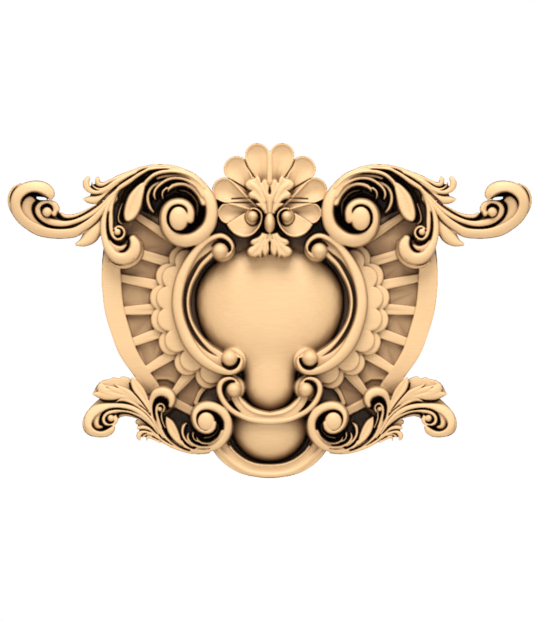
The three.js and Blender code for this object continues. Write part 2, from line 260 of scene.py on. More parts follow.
shield = {
    "rim": [
        [112, 256.5, 8.5, 8], [111.5, 275.5, 9.6, 8], [112.5, 292.5, 9.7, 8], [115, 311.5, 9.6, 8],
        [120.5, 330.5, 9.5, 8], [127.5, 350.5, 8.8, 8], [139.7, 370.2, 7.7, 6], [152.5, 388, 7.6, 3],
    ],
    "barRise": 5,
    "bars": [
        [[139.5, 217.5, 3.8], [172, 239, 5]],
        [[140.5, 254, 5], [168, 262, 5.3]],
        [[120, 277.7, 4.2], [157, 285, 5.4]],
        [[122, 311, 4.3], [155, 309, 5.8]],
        [[130, 343.5, 4.6], [162, 332, 5.5]],
        [[146, 371, 4.3], [173, 354, 5.8]],
        [[175, 392, 3.8], [190, 373.5, 6.2]],
        [[173, 401.5, 4.5], [198, 414.5, 4.5]],
        [[196, 403, 2.2], [201, 392, 2.4], [210, 382.5, 3]],
    ],
    "scallopMiddle": 2.5,    # height of the point that the rows curve about
    "scallopReach": 120.3,
    "scallopWidest": -6,     # degrees down from level
    "scallopFallUp": 0.0118,   # how fast the rows fall in from their widest place, going up
    "scallopFallDown": 0.0055,
    "scallopAngles": [-29.5, -17.5, -5.5, 6.3, 19.2, 33.5, 47.9, 62],
    "scallopsEnd": 70,
    "scallopEdge": 2.2,      # width of their rounded edge, and its drop
    "scallopDrop": 1.1,
    "outerRow": {"radius": 13, "setIn": 0, "rise": 9},
    "innerRow": {"radius": 12, "setIn": 6.5, "rise": 13},
}


def scallopReach(angle):
    past = angle - shield["scallopWidest"]
    fall = np.where(past < 0, shield["scallopFallUp"], shield["scallopFallDown"])
    return shield["scallopReach"] - fall * past ** 2


def layScallops(row):
    window = windowAround(20, 130, -100, 75)
    out, up = outMap[window], upMap[window] - shield["scallopMiddle"]
    inside = np.full(out.shape, noWood)
    for angle in shield["scallopAngles"]:
        reach = scallopReach(angle) - row["setIn"] - row["radius"]
        turn = math.radians(angle)
        apart = np.hypot(out - math.cos(turn) * reach, up + math.sin(turn) * reach)
        inside = np.maximum(inside, row["radius"] - apart)
    angles = np.degrees(np.arctan2(-up, out))
    reaches = scallopReach(angles) - row["setIn"] - row["radius"] - np.hypot(out, up)
    between = (angles > shield["scallopAngles"][0]) & (angles < shield["scallopsEnd"])
    inside = np.where(between, np.maximum(inside, reaches), inside)
    drop = shield["scallopDrop"] * (1 - np.clip(inside / shield["scallopEdge"], 0, 1)) ** 2
    height = panel["ground"] + row["rise"] - drop + np.minimum(inside, 0) * panel["sideSlope"]
    layOn(window, np.where(inside > -2, height, noWood), inside)


layStrand(shield["rim"], fall=0.04)
for bar in shield["bars"]:
    layStrand([[*station, shield["barRise"]] for station in bar], fall=0.1)
layScallops(shield["outerRow"])
layScallops(shield["innerRow"])
print("rim, bars and scallops laid")


# The domed field with its neck, and the belly under it, each in a gutter cut below the ground

field = {
    "floor": 5.5,            # height of the gutters' floor
    "gutter": 6.5,           # its width
    "gutterTop": 55,         # above this the ground stays
    "crown": 22.5,           # height of the field over the gutter's floor
    "middle": 300,
    "halfWidth": 74,
    "halfUp": 57,
    "halfDown": 75,
    "footMiddle": 385,       # the neck runs down to a round foot
    "footRadius": 26.6,
    "footShare": 0.42,       # its fullness beside the field's
    "blend": 0.22,           # how softly the neck runs into the field
    "fullness": 0.46,        # how steeply the domes spring from the gutter, less is steeper
    "sheer": 0.06,           # share of a crown that stands straight up
    "belly": [270, 424, 39.3, 38.3],
    "bellyCrown": 22.5,
    "bellyGutter": 4.5,
    "bellyGutterTop": 4,
}


def fieldPillow(window, wider):
    out, up = outMap[window], upMap[window]
    high = up - (panel["middle"][1] - field["middle"])
    high = high / (np.where(high > 0, field["halfUp"], field["halfDown"]) + wider)
    foot = np.minimum(up - (panel["middle"][1] - field["footMiddle"]), 0)
    upper = 1 - (out / (field["halfWidth"] + wider)) ** 2 - high ** 2
    lower = field["footShare"] * (1 - (out ** 2 + foot ** 2) / (field["footRadius"] + wider) ** 2)
    mixed = np.clip(0.5 + 0.5 * (upper - lower) / field["blend"], 0, 1)
    pillow = lower + (upper - lower) * mixed + field["blend"] * mixed * (1 - mixed)
    return np.where(np.maximum(upper, lower) > -0.02, pillow, -1)


def crownOver(share):
    return field["sheer"] + (1 - field["sheer"]) * np.clip(share, 0, 1) ** field["fullness"]


def layField():
    window = windowAround(0, 90, -115, 80)
    lowered = (fieldPillow(window, field["gutter"]) > 0) & (upMap[window] < field["gutterTop"])
    relief[window] = np.where(lowered, field["floor"], relief[window])
    pillow = fieldPillow(window, 0)
    height = field["floor"] + field["crown"] * crownOver(pillow)
    layOn(window, np.where(pillow > 0, height, noWood), np.where(pillow > 0, 1.0, noWood))


def layBelly():
    across, down, halfWidth, halfHeight = field["belly"]
    out, up = panel["middle"][0] - across, panel["middle"][1] - down
    window = windowAround(0, 60, -165, -60)
    wide = np.hypot((outMap[window] - out) / (halfWidth + field["bellyGutter"]),
                    (upMap[window] - up) / (halfHeight + field["bellyGutter"]))
    lowHalf = (wide < 1) & (upMap[window] < up + field["bellyGutterTop"])
    relief[window] = np.where(lowHalf, field["floor"], relief[window])
    radius = np.hypot((outMap[window] - out) / halfWidth, (upMap[window] - up) / halfHeight)
    height = field["floor"] + field["bellyCrown"] * crownOver(1 - radius * radius)
    layOn(window, np.where(radius < 1, height, noWood), np.where(radius < 1, 1.0, noWood))


layBelly()
layField()
print("field and belly laid")


# Mouldings and beads that frame the field

mouldings = {
    "knobs": [[223, 249, 12.5, 12.5, 15], [233.5, 360.3, 13, 13, 15], [231.3, 388.3, 13.6, 13.6, 15]],
    "bases": [
        [[216, 245.5, 6, 18], [205, 252, 9, 18.5], [196.5, 260, 9.2, 18.5], [189.5, 271, 9, 18.5],
         [184.5, 282, 8.6, 18.5], [181.8, 294, 8.2, 18.5], [181.2, 306, 8.2, 18.5], [183.5, 320, 8.2, 18.5],
         [189, 332.5, 8.3, 18.5], [197, 344, 8.6, 18.5], [206.5, 353.3, 9, 18.5], [216.5, 359.5, 9, 18.5],
         [224, 362.5, 7, 18]],
        [[236, 398, 4.5, 16], [241, 405, 5.2, 17], [249, 411.7, 5.3, 17], [259, 415.8, 5.2, 17],
         [270, 417.5, 4.8, 17], [276, 417.3, 4.8, 17]],
        [[219, 444.5, 7.5, 11], [223.5, 451.5, 7.8, 11], [231.5, 459.5, 7.5, 11], [241.5, 466, 7, 11],
         [253, 469.8, 6.5, 11], [262, 471, 6.3, 11], [270, 471.2, 6.3, 11], [276, 471.1, 6.3, 11]],
    ],
    "scrollRoll": [
        [231.4, 251.5, 1.1, 20], [232.8, 246.5, 1.6, 21], [229, 239.8, 1.9, 22], [220.8, 235.8, 2.3, 23],
        [210, 239, 3, 24], [199.5, 247.3, 3.8, 25], [189.8, 260.8, 4.5, 25], [182, 277.5, 5.2, 25],
        [178.6, 294, 5.6, 25], [178.8, 311, 5.7, 25], [184.3, 331.5, 5.7, 25], [191, 345.5, 5.6, 25],
        [200.5, 357.3, 5.2, 25], [211, 365.3, 4.6, 25], [221.5, 370.3, 3.8, 24], [231, 372, 3, 23],
        [238.3, 369, 2.4, 22], [241.5, 362.5, 2, 21], [241, 357.5, 1.2, 20],
    ],
    "rolls": [
        [[236, 380.3, 1, 20], [231.5, 378.3, 1.6, 21], [225.3, 379.3, 2.2, 21.5], [221, 383.5, 2.6, 21.5],
         [219.8, 390, 2.7, 21.5], [221.8, 397.5, 2.8, 21.5], [225.5, 404, 3, 21.5], [232, 410.5, 2.8, 21.5],
         [241, 415.7, 2.4, 21], [250, 419.4, 2.3, 20.5], [260, 421.3, 2.3, 20], [270, 421.9, 2.4, 20],
         [276, 421.8, 2.4, 20]],
        evenly(2.6, 13, (219, 448.5), (222, 452), (226, 456), (232, 462), (238, 466.5), (245, 470.5),
               (252, 473), (262, 474.8), (270, 475), (276, 474.9)),
    ],
    "fillets": [
        [[239.5, 397.5, 0.8, 18], [243, 403.5, 0.9, 18.5], [248.5, 408.8, 0.9, 18.5],
         [256, 412.7, 0.9, 18.5], [264, 414.4, 0.9, 18.5], [270, 414.8, 0.9, 18.5],
         [276, 414.7, 0.9, 18.5]],
        evenly(0.8, 13.5, (230.3, 446.5), (234.3, 451.8), (240, 456.8), (247, 461.2), (255, 464.2),
               (263, 465.4), (270, 465.7), (276, 465.6)),
        evenly(0.7, 12, (228.3, 447.8), (232.5, 453), (238.5, 458.3), (246, 462.9), (254, 465.7),
               (262, 467), (270, 467.4), (276, 467.3)),
    ],
    "creases": [
        [[214.5, 248.5, 0.7, 2], [207.5, 254.7, 1.8, 8], [199.3, 262.3, 2.6, 12], [192.7, 272.8, 3, 13],
         [187.9, 283.2, 3, 13], [185, 294.6, 3, 13], [184.5, 305.8, 3, 13], [186.8, 319, 3, 13],
         [192, 331, 3, 13], [199.5, 341.8, 2.6, 12], [208.4, 350.8, 1.8, 8], [217.9, 356.8, 0.7, 2]],
        [[212.5, 246, 1, 6], [216, 242.3, 1.4, 9], [221, 240.8, 1.6, 11], [226, 242.5, 2, 12],
         [229.3, 246.3, 1.8, 12], [230.8, 250.8, 0.7, 7]],
        [[222.5, 363, 0.8, 10], [226, 367.5, 1.4, 10], [231, 369, 1.8, 10], [236, 366.8, 1.7, 10],
         [239.3, 362, 1.2, 10], [240, 358.8, 0.7, 10]],
        [[233.5, 381, 0.8, 8], [229, 382, 1.5, 11], [225.2, 385.5, 1.9, 12], [223.8, 390.5, 1.6, 12],
         [225, 395.5, 1.3, 10], [228.3, 399.3, 0.8, 6]],
        evenly(0.45, 2, (255, 416.2), (262, 417.1), (270, 417.4), (276, 417.3)),
    ],
    "beads": [[220.3, 250.8, 9, 9, 29], [229.8, 358.2, 9, 9, 29], [234, 389.6, 8.2, 8.2, 27]],
    "tails": [
        [[221, 256, 3, 19], [227, 255.6, 2, 20], [231, 252.5, 1.2, 21]],
        [[229, 354, 3, 19], [235, 354.3, 2, 20], [239, 357, 1.2, 21]],
        [[238, 392, 3, 18], [238.5, 385, 2, 19], [236, 381, 1.2, 20]],
    ],
}

for knob in mouldings["knobs"]:
    layDome(*knob, fullness=0.35, foot=0.6)
for stations in mouldings["bases"]:
    layStrand(stations, fall=0.08)
layStrand(mouldings["scrollRoll"], crest=0.25, fall=1.0)
for stations in mouldings["rolls"] + mouldings["fillets"]:
    layStrand(stations, fall=1.0)
for stations in mouldings["creases"]:
    cutLine(stations)
for stations in mouldings["tails"]:
    layStrand(stations)
for bead in mouldings["beads"]:
    layDome(*bead, foot=0.35)
print("mouldings laid")


# The shell with its rolled lower lobe, the bead in it, and the acanthus over and under the oval bead

shell = {
    "lobes": [
        {"hinge": [268, 206.5], "end": [257.5, 155.3], "radius": 12.2, "rise": 19.5},
        {"hinge": [262, 212], "end": [237, 169], "radius": 13, "rise": 19},
        {"hinge": [262, 212], "end": [225, 190], "radius": 12.5, "rise": 18.5},
        {"hinge": [262, 213.5], "end": [229, 213], "radius": 11, "rise": 18},
    ],
    "root": 0.12,            # a lobe's width at its hinge, as a share of its widest
    "lip": 2.3,              # width of the raised edge of a lobe
    "shoulder": 1.4,         # how far that edge is rounded over
    "dip": 5.5,              # a lobe is hollowed this deep
    "lipShare": 0.4,         # of that, what falls straight behind the lip
    "spine": [[270, 151.5, 0.9, 19], [270, 168, 1.3, 19], [270, 184, 1.5, 19]],
    "creases": [
        evenly(0.9, 7, (245, 160), (248, 167), (252, 173), (255.5, 178)),
        evenly(0.9, 7, (229, 178.5), (235, 182), (241, 185.5), (247, 189.5)),
        evenly(0.8, 6, (232, 199), (241, 198.3), (250, 198)),
        evenly(0.8, 6, (220, 203.5), (232, 203), (241, 202.7), (252, 203)),
        evenly(0.8, 6, (225.5, 225), (233, 220), (239, 216), (244, 213)),
    ],
    "rolledLobe": [
        (244.5, 213), (239, 216), (233, 220), (226.5, 224.7), (229.5, 229), (234.5, 233.5), (240.5, 236.4),
        (246, 237), (252, 235.3), (257, 231.3), (260.8, 226), (262.8, 219.5), (262.6, 213.5),
        (259.8, 209.8), (255.5, 208), (251.5, 208.3), (248, 210), (245.8, 213),
    ],
    "rim": [
        [229.5, 228, 0.8, 17], [234.5, 232.5, 1.1, 18], [240.5, 235.2, 1.3, 19], [246, 235.9, 1.3, 20],
        [251.7, 234.3, 1.3, 20.5], [256.3, 230.6, 1.2, 21], [259.9, 225.5, 1.1, 22], [261.9, 219.5, 1, 23],
        [261.7, 214, 1, 24], [259, 210.5, 1, 24.5], [255, 208.8, 1, 25], [251.5, 209.2, 1, 25.5],
    ],
    "rimCrease": [
        [252.3, 209.6, 0.9, 7], [255.5, 210.6, 1.5, 10], [258.5, 213.5, 1.8, 12], [259.6, 218, 1.8, 12],
        [258.3, 222.5, 1.8, 10], [255, 225.3, 1.5, 6], [250.5, 225, 1.2, 5], [246.8, 222, 1, 5],
        [245.3, 217.5, 0.9, 5], [246, 213, 0.8, 4],
    ],
    "bead": [253, 216, 6, 6, 30],
}


def layShellLobe(lobe):
    hinge, end, radius = np.array(lobe["hinge"]), np.array(lobe["end"]), lobe["radius"]
    stations = []
    for share in (0, 0.25, 0.5, 0.75, 1):
        place = hinge + (end - hinge) * share
        stations.append([*place, radius * (shell["root"] + (1 - shell["root"]) * share), lobe["rise"]])
    window, share, side, width, rise = measureStrand(stations)
    inside = (1 - share) * width
    hollow = np.clip((inside - shell["lip"]) / (width * 0.9), 0, 1)
    lip = np.clip(inside / shell["lip"], 0, 1)
    behindLip = shell["lipShare"] * lip ** 3 + (1 - shell["lipShare"]) * np.sin(hollow * math.pi / 2)
    dip = shell["dip"] * behindLip
    shoulder = shell["shoulder"] * (1 - np.sqrt(1 - (1 - lip) ** 2))
    height = panel["ground"] + rise - dip - shoulder + np.minimum(inside, 0) * panel["sideSlope"]
    layOn(window, height, inside)


acanthus = {
    "rise": 25,
    "upper": [
        (272, 186.5), (270, 186.5), (268.7, 184.5), (267.8, 182), (266.5, 180), (264.5, 179.3),
        (262.6, 180.2), (261.6, 182), (261.2, 180.3), (260, 177.7), (258, 175.8), (256.3, 176.3),
        (255.7, 178), (252.5, 179.2), (249.5, 179.9), (247, 181.5), (245.6, 184), (245.7, 185.3),
        (247.5, 188), (250, 190), (252.3, 190.6), (250.3, 191.8), (249.1, 193.5), (249.2, 196),
        (250.8, 198), (253.5, 198.6), (256, 199.5), (258, 201.3), (260.8, 203.3), (258.3, 202.8),
        (256.3, 203.3), (256.3, 204.6), (258.5, 206.3), (261.5, 208.5), (263.7, 211), (265, 214),
        (272, 214),
    ],
    "lower": [
        (272, 233), (270, 234), (264, 233), (262, 233), (261, 235), (258.5, 237.3), (255, 238.7),
        (252.3, 240), (251, 242), (251.5, 244.2), (253.8, 245.4), (251.5, 246.5), (249.3, 248.5),
        (247.9, 251), (248.3, 253.3), (250, 255.3), (253, 256.5), (256, 256.7), (258.3, 255.5), (261, 257),
        (262.3, 254), (262.7, 251.3), (263, 253.5), (264.3, 255.3), (266.3, 255.2), (268, 253.3),
        (269.3, 250.5), (272, 250),
    ],
    "lobes": [
        evenly(2.4, 26.2, (252, 184.5), (257.5, 188.5), (261.5, 194), (264, 201)),
        evenly(1.8, 26, (258.3, 178.8), (260.5, 184.5), (264, 192), (266.5, 200)),
        evenly(1.7, 26, (265.3, 182), (266.8, 189), (268, 197)),
        evenly(2, 25.8, (252.5, 194.8), (257.5, 197.5), (261.5, 202.5), (264.5, 209)),
        evenly(2.2, 26, (252, 252), (256.5, 247.5), (260.5, 243), (264.5, 237.5)),
        evenly(1.6, 26, (254.3, 242), (258.5, 240), (262.5, 236.5)),
        evenly(1.4, 26, (265.2, 252.5), (265.5, 246), (266.5, 240)),
        evenly(1.3, 26, (260, 253.5), (261.7, 247), (264, 241.5)),
    ],
    "ridges": [evenly(1, 26.5, (270, 194), (270, 203), (270, 212)), evenly(1, 26, (270, 234), (270, 241))],
    "veins": [
        [[268, 214, 0.6, 2], [267.2, 207, 0.9, 3], [266.3, 200, 1, 3], [264.3, 195, 0.8, 2.5],
         [262, 191, 0.5, 2]],
        [[266, 235, 0.6, 2], [264.5, 238.5, 0.8, 2.5], [262.5, 242, 0.6, 2], [260, 245, 0.4, 1.5]],
        [[268, 235, 0.5, 2], [267, 239.5, 0.7, 2.5], [265.7, 243, 0.5, 1.5]],
    ],
    "slots": [
        [[270, 186, 0.7, 14], [270, 188.5, 0.8, 15], [270, 191.5, 1.7, 17], [270, 194, 1, 14]],
        [[270, 241.5, 0.8, 13], [270, 243.5, 1.4, 15], [270, 246.5, 0.9, 14], [270, 250, 1, 14],
         [270, 253, 1.4, 12]],
        [[261.2, 180.8, 0.5, 5], [261.4, 182.8, 0.7, 6]],
        [[256.5, 200.3, 0.7, 5], [258.5, 201.8, 0.6, 5], [260.8, 203.3, 0.4, 3]],
    ],
    "ovalBead": [270, 223, 5.6, 10.8, 34],
}

for lobe in shell["lobes"][::-1]:
    layShellLobe(lobe)
layStrand(shell["spine"])
for stations in shell["creases"]:
    cutLine(stations)
layPlate(shell["rolledLobe"], rise=17.5)
layStrand(shell["rim"])
cutLine(shell["rimCrease"])
layDome(*shell["bead"], foot=0.5)
for outline in (acanthus["upper"], acanthus["lower"]):
    layPlate(outline, acanthus["rise"], bevel=2.2)
for stations in acanthus["lobes"] + acanthus["ridges"]:
    layStrand(stations, fall=0.6)
for stations in acanthus["veins"] + acanthus["slots"]:
    cutLine(stations)
layDome(*acanthus["ovalBead"], foot=0.5)
print("shell and acanthus laid")


# The upper scroll: volute, strands along the top edge, tips, hook, the branch that turns down, and pods

upperScroll = {
    # broad bands whose crest lies nearer one edge
    "leaning": [
        {"crest": -0.35, "fall": 1.1, "stations": [
            [170, 168.5, 2, 20], [182, 171.3, 2.8, 22], [192, 176.2, 3.8, 24], [200, 184, 4.8, 26],
            [206.5, 193, 5.6, 28], [210.8, 203, 5.9, 29.5], [211.8, 214, 5.9, 30], [209, 225.5, 6.4, 30],
            [202, 234, 6.8, 30], [193, 239, 6.9, 30], [184, 240, 7, 30], [175.5, 237.3, 6.2, 30.5],
            [169, 231.5, 5, 31], [165, 224.5, 3.4, 32], [164.3, 216.5, 3.1, 33], [166.3, 209.5, 3, 33.5],
            [170.8, 204.3, 2.8, 34], [177, 202.2, 2.8, 34.5], [183.5, 203, 3, 35], [188.6, 207, 3.4, 35.5],
            [190.8, 213, 3.6, 36], [190, 219, 4, 36],
        ]},
        {"crest": -0.7, "fall": 1.2, "stations": [
            [117, 191.5, 1.3, 15], [111.5, 198, 1.7, 15.5], [106.5, 205, 2.2, 16], [101.5, 212, 3.1, 16.5],
            [95, 218.8, 4, 17], [86, 226, 4.6, 18], [75, 232.2, 5, 19], [62, 233.8, 5, 20],
            [50, 233, 5.2, 21], [39, 230, 5.7, 22], [29.5, 224.8, 5.3, 23.5], [22, 218.5, 5.4, 25],
            [17.3, 211, 5.5, 26.5], [15.8, 202.5, 5.4, 28], [18.5, 194.8, 5.5, 29.5], [25, 188.8, 5.6, 31],
            [33, 186.4, 5.6, 32], [41, 187.2, 6.2, 32], [47, 190.5, 6.3, 31], [50.8, 194.5, 4.3, 29],
            [50.8, 198.7, 1.6, 27],
        ]},
        {"crest": 0.3, "fall": 0.9, "stations": [
            [117, 190, 1.2, 16], [112, 197.5, 1.6, 16.5], [108, 205, 1.9, 17], [105.3, 213, 2.3, 18],
            [104, 222, 2.9, 19], [103.9, 231, 3.1, 20], [105.3, 240, 3.4, 21.5], [109, 248.5, 4.4, 23],
            [115, 255.5, 5.2, 25], [122, 258.3, 5.8, 26], [129, 257, 6.2, 27], [134.3, 251.5, 6.2, 27.5],
            [135.5, 244.5, 5.2, 27.5], [133.3, 239.3, 3.4, 26.5],
        ]},
        {"crest": -0.5, "fall": 0.8, "stations": [
            [34, 200.5, 2, 21], [29, 200.5, 5.5, 23], [26.3, 206, 6.3, 22.5], [27, 212.5, 6.2, 21.5],
            [30.5, 218.5, 5, 20.5], [36, 223.5, 3.4, 19.5], [43, 227, 2.2, 19],
        ]},
    ],
    "strands": [
        # along the top edge
        [[112, 183.5, 4.3, 15], [120, 178.7, 4, 16], [130, 173.4, 2.5, 16.5], [135, 171.2, 2.1, 17],
         [140, 168.8, 1.7, 17], [145, 167.3, 1.3, 17.5], [150, 166.2, 1.4, 18], [160, 165.6, 1.4, 19],
         [170, 166.2, 1.4, 20], [180, 168.6, 1.5, 21], [190, 173, 1.5, 22]],
        [[120, 187, 2.7, 15.5], [130, 180.8, 2.5, 16.5], [135, 177.2, 2.1, 17], [140, 174, 1.8, 18],
         [145, 171.2, 1.5, 19], [150, 169.1, 1.3, 19.5], [160, 168.4, 1.1, 20], [170, 168.1, 1.1, 21]],
        [[144.3, 186.3, 1, 21], [146, 182.8, 1.6, 22], [149.5, 178.8, 1.6, 22], [154, 175, 1.6, 22.5],
         [160, 172.5, 1.6, 23], [167, 171.3, 1.6, 23.5], [174, 171, 1.6, 24], [182, 172.5, 1.6, 24.5],
         [190, 175.8, 1.7, 25.5], [198, 181.3, 1.8, 27], [204, 187.5, 2, 28]],
        [[158, 178, 1.6, 16], [165, 176, 1.8, 17], [175, 175.5, 1.8, 18], [184, 176.8, 1.8, 19.5],
         [192, 180.2, 1.9, 21.5], [199, 185.5, 2, 24], [205, 192, 2.2, 26]],
        [[155.6, 198.7, 0.5, 17], [154.4, 195.3, 1.1, 18], [155, 191.3, 1.2, 18.5], [157.5, 187.3, 1.2, 19],
         [161.5, 183.6, 1.3, 19.5], [166.5, 180.2, 1.4, 20], [172, 178.4, 1.4, 20.5], [178, 178, 1.4, 21],
         [185, 179.3, 1.5, 22], [192, 182.6, 1.7, 24], [198.5, 187.8, 2.2, 26], [204, 195, 3, 28]],
        [[161.5, 181.5, 1, 15], [155.5, 184.3, 1.6, 15.5], [150.5, 189, 1.8, 15.5], [148, 195.5, 1.8, 15.5],
         [148.3, 202, 1.7, 15], [150.5, 207.8, 1.4, 14], [153.8, 212, 0.6, 13]],
        [[163.3, 198, 0.5, 15], [162.6, 194, 1, 16], [164, 190.5, 1.1, 17], [167, 188, 1.2, 17.5]],
        [[168.3, 191.3, 0.6, 16], [170, 188, 1.6, 17.5], [174, 185.3, 1.9, 18], [180, 183.9, 1.9, 18.5],
         [186, 184.3, 2, 19.5], [192, 186.8, 2.4, 21], [197, 190.8, 2.8, 23], [201, 196, 3, 25],
         [204, 203, 3, 27]],
        [[180, 190, 0.9, 8], [187, 191.5, 1.2, 9], [193, 196, 1.4, 10], [197, 202, 1.6, 11],
         [198, 209, 1.6, 11], [197, 217, 0.9, 11]],
        # tips at the left
        [[116, 178.5, 1.5, 16], [109, 182, 2.1, 16], [103, 184.6, 2.3, 16], [98.8, 183.5, 2.6, 16.5],
         [97.8, 180, 2.4, 16.5], [98.3, 177.3, 1, 16]],
        [[92.2, 182.8, 0.6, 16], [93, 185.8, 1, 16.5], [96, 188.3, 1.2, 16.5], [101, 189, 1.3, 16.5],
         [107, 187.2, 1.4, 16.5], [113, 183.8, 1.4, 16.5], [120, 180.2, 1.4, 17], [128, 175.9, 1.3, 17.5],
         [136, 172.3, 1.2, 18]],
        [[118, 183, 1.4, 16], [111, 187.3, 2, 16], [104.5, 190.5, 2.1, 16.5], [97.5, 192.3, 2.1, 16.5],
         [91, 190.8, 2.5, 17], [87, 187, 3.2, 17.5], [86.3, 182.5, 3.2, 17.5], [88, 179, 2.4, 17],
         [89.3, 177.3, 0.8, 16.5]],
        [[112, 189.8, 1.2, 14], [106.5, 194.3, 2.4, 14.5], [101, 198, 3.4, 15], [95, 199.8, 4.3, 15],
         [89, 199.8, 3.3, 15], [84, 199.2, 0.7, 14]],
        # the hook
        [[21, 184.3, 1, 22], [14.5, 188, 1.6, 22], [10.5, 194.5, 1.7, 21], [9.3, 201, 1.4, 20],
         [10.3, 208, 1, 19], [13, 214, 0.6, 18]],
        [[119, 189, 1.2, 15], [113, 193.8, 1.4, 15.5], [107, 199.8, 1.5, 16], [101, 206.5, 1.7, 16.5],
         [93, 212.8, 2, 17], [84, 218, 2.4, 17.5], [74, 221.7, 2.6, 18], [64, 223.8, 3, 18.5],
         [54, 222.6, 3.8, 19], [45.5, 219.5, 3.8, 20], [39.8, 214.3, 3.4, 21], [38, 208.8, 2.8, 22],
         [40.3, 204.3, 2.3, 23], [45, 201.9, 1.9, 23.5], [50, 202, 2, 24], [54.5, 205, 3.4, 23],
         [56.5, 209.5, 3.6, 22], [54.5, 213.5, 2.6, 22]],
        [[61.8, 213.8, 1.4, 17], [66, 216.3, 1.9, 17], [74, 216, 1.9, 16.5], [82, 213.6, 1.8, 16],
         [90, 209.4, 1.5, 15.5], [97, 204.8, 1, 15], [103, 199.8, 0.6, 15], [109, 194.5, 0.5, 15]],
        [[103, 216, 0.8, 13], [99, 224, 5, 14], [95, 231, 7, 15], [90.5, 236.5, 7.6, 15],
         [84, 242, 4.6, 15], [77, 244.3, 1.6, 14.5]],
        # the branch
        [[110.5, 241.5, 1.5, 19], [113.5, 246, 2.4, 19], [118, 248.8, 3, 19], [122.5, 248.6, 2.8, 19],
         [126, 246, 1.8, 18]],
        [[112, 262, 2, 13], [118, 265, 2.5, 13], [124, 266, 2.6, 13], [130, 264.5, 3, 13],
         [136, 259.5, 4, 13], [139.5, 252, 4, 13], [139.5, 244, 3.5, 13]],
        [[122, 184.5, 1.5, 15], [116.5, 192, 2, 15], [112.5, 201, 2.4, 15.5], [110.8, 211, 2.4, 16],
         [111, 221, 2.4, 16.5], [111.3, 229, 2.2, 17], [113, 235.5, 1.9, 17.5], [117, 239, 1.6, 18],
         [121.5, 238.5, 1.5, 18.5], [124.2, 235, 1.4, 19], [124.3, 231, 1.3, 19], [122, 228, 1.2, 19],
         [118.5, 227, 1.2, 19], [115.5, 228.8, 1.3, 19.5]],
        [[122.5, 204, 0.6, 9], [120, 211, 0.9, 10], [118.6, 217.5, 1, 10], [119.3, 221.8, 1, 10],
         [122.3, 224.3, 0.6, 9]],
    ],
    "pods": [
        [[146, 182, 0.8, 20], [142, 187, 3.2, 21.5], [138.8, 192.5, 5.2, 22.5], [135.8, 199, 7, 23],
         [133.6, 206, 7.5, 23], [131.2, 212.5, 6.6, 22.5], [128.8, 217, 4, 22], [127, 219.8, 1, 21]],
    ],
    # the wood that the strands stand on; one small eye stays open in the hook
    "backings": [
        {"rise": 12, "edge": [
            (118, 188), (118, 200), (106, 214), (96, 226), (80, 232), (62, 235), (40, 231), (24, 221),
            (16, 210), (16, 198), (22, 190), (33, 187), (43, 188), (49, 193), (50, 197.5), (47.9, 199.3),
            (45, 197.4), (41, 196.9), (37, 196.7), (36.9, 198.6), (40, 199.9), (44, 200.1), (47.9, 199.6),
            (53, 201), (58, 206), (60, 213), (68, 215), (80, 213), (92, 208), (104, 201), (112, 193),
        ]},
        {"rise": 12, "edge": [
            (86, 199.5), (92, 203), (100, 203), (110, 196), (122, 186), (140, 175), (150, 170), (140, 170),
            (122, 176), (112, 180.5), (105, 184), (101, 184), (98, 182), (95, 184), (92, 184.5), (89, 188),
            (92, 192), (90, 196),
        ]},
        {"rise": 11, "edge": [
            (118, 190), (108, 205), (104, 222), (105, 240), (112, 250), (122, 256), (132, 252), (133, 242),
            (127, 240), (124, 240), (114, 238), (112, 225), (112, 210), (117, 196), (124, 186),
        ]},
    ],
    "eyes": [[179, 218.3, 9.8, 12.2, 38], [47.3, 211.7, 4.9, 4.9, 26], [117.8, 232, 3.5, 3.5, 21]],
    "creases": [
        # round the volute's eye and along its inner side
        [[185.3, 216.5, 0.7, 5], [187, 213, 0.8, 7], [186.8, 209.5, 0.9, 8], [184.5, 206.7, 0.9, 8],
         [181, 205.3, 0.9, 8], [177.3, 205.2, 1, 8], [173, 207.3, 1.1, 8], [169.9, 211.2, 1.1, 8],
         [168.5, 216.3, 1.1, 8], [168.8, 221.7, 1.2, 8], [171, 226.8, 1.3, 9], [174.8, 230.3, 1.5, 9],
         [180, 232, 1.7, 10], [185.5, 231.6, 2, 10], [190.3, 229, 2.4, 10], [193.8, 225, 2.4, 9],
         [195.7, 219.5, 2, 8], [196, 213, 1.8, 7], [195, 206, 1.8, 6], [192.5, 200.5, 2, 5]],
        # between the top strands
        [[97, 204.7, 0.8, 8], [101, 200.8, 0.9, 10], [105, 197, 0.9, 10], [110, 192.3, 0.9, 10],
         [115, 187.8, 0.9, 10], [121, 183.3, 0.9, 9], [128, 178.7, 0.8, 8], [135, 174.3, 0.7, 6],
         [142, 170.8, 0.5, 4], [148, 168.5, 0.4, 2.5]],
        [[150, 171.7, 1, 9], [155, 170.2, 0.9, 9], [161, 169.5, 0.7, 8], [168, 169.4, 0.7, 6],
         [175, 170, 0.5, 4], [183, 171.5, 0.4, 2.5], [190, 174, 0.4, 2], [200, 180, 0.4, 2],
         [207, 187.5, 0.4, 1.5]],
        [[147, 183.5, 0.8, 6], [150, 180, 0.8, 6], [155, 177, 0.8, 6], [160, 175, 0.8, 6],
         [167, 173.7, 0.8, 6], [175, 173.2, 0.8, 5.5], [183, 174.3, 0.8, 5], [190, 177, 0.8, 4],
         [196, 181, 0.7, 3], [201, 185.5, 0.6, 2], [206, 190.5, 0.5, 1.5], [209, 194, 0.4, 1]],
        [[157.8, 197, 1.6, 10], [158.8, 192, 1.5, 12], [162, 187.3, 1.5, 12], [167, 183.5, 1.3, 12],
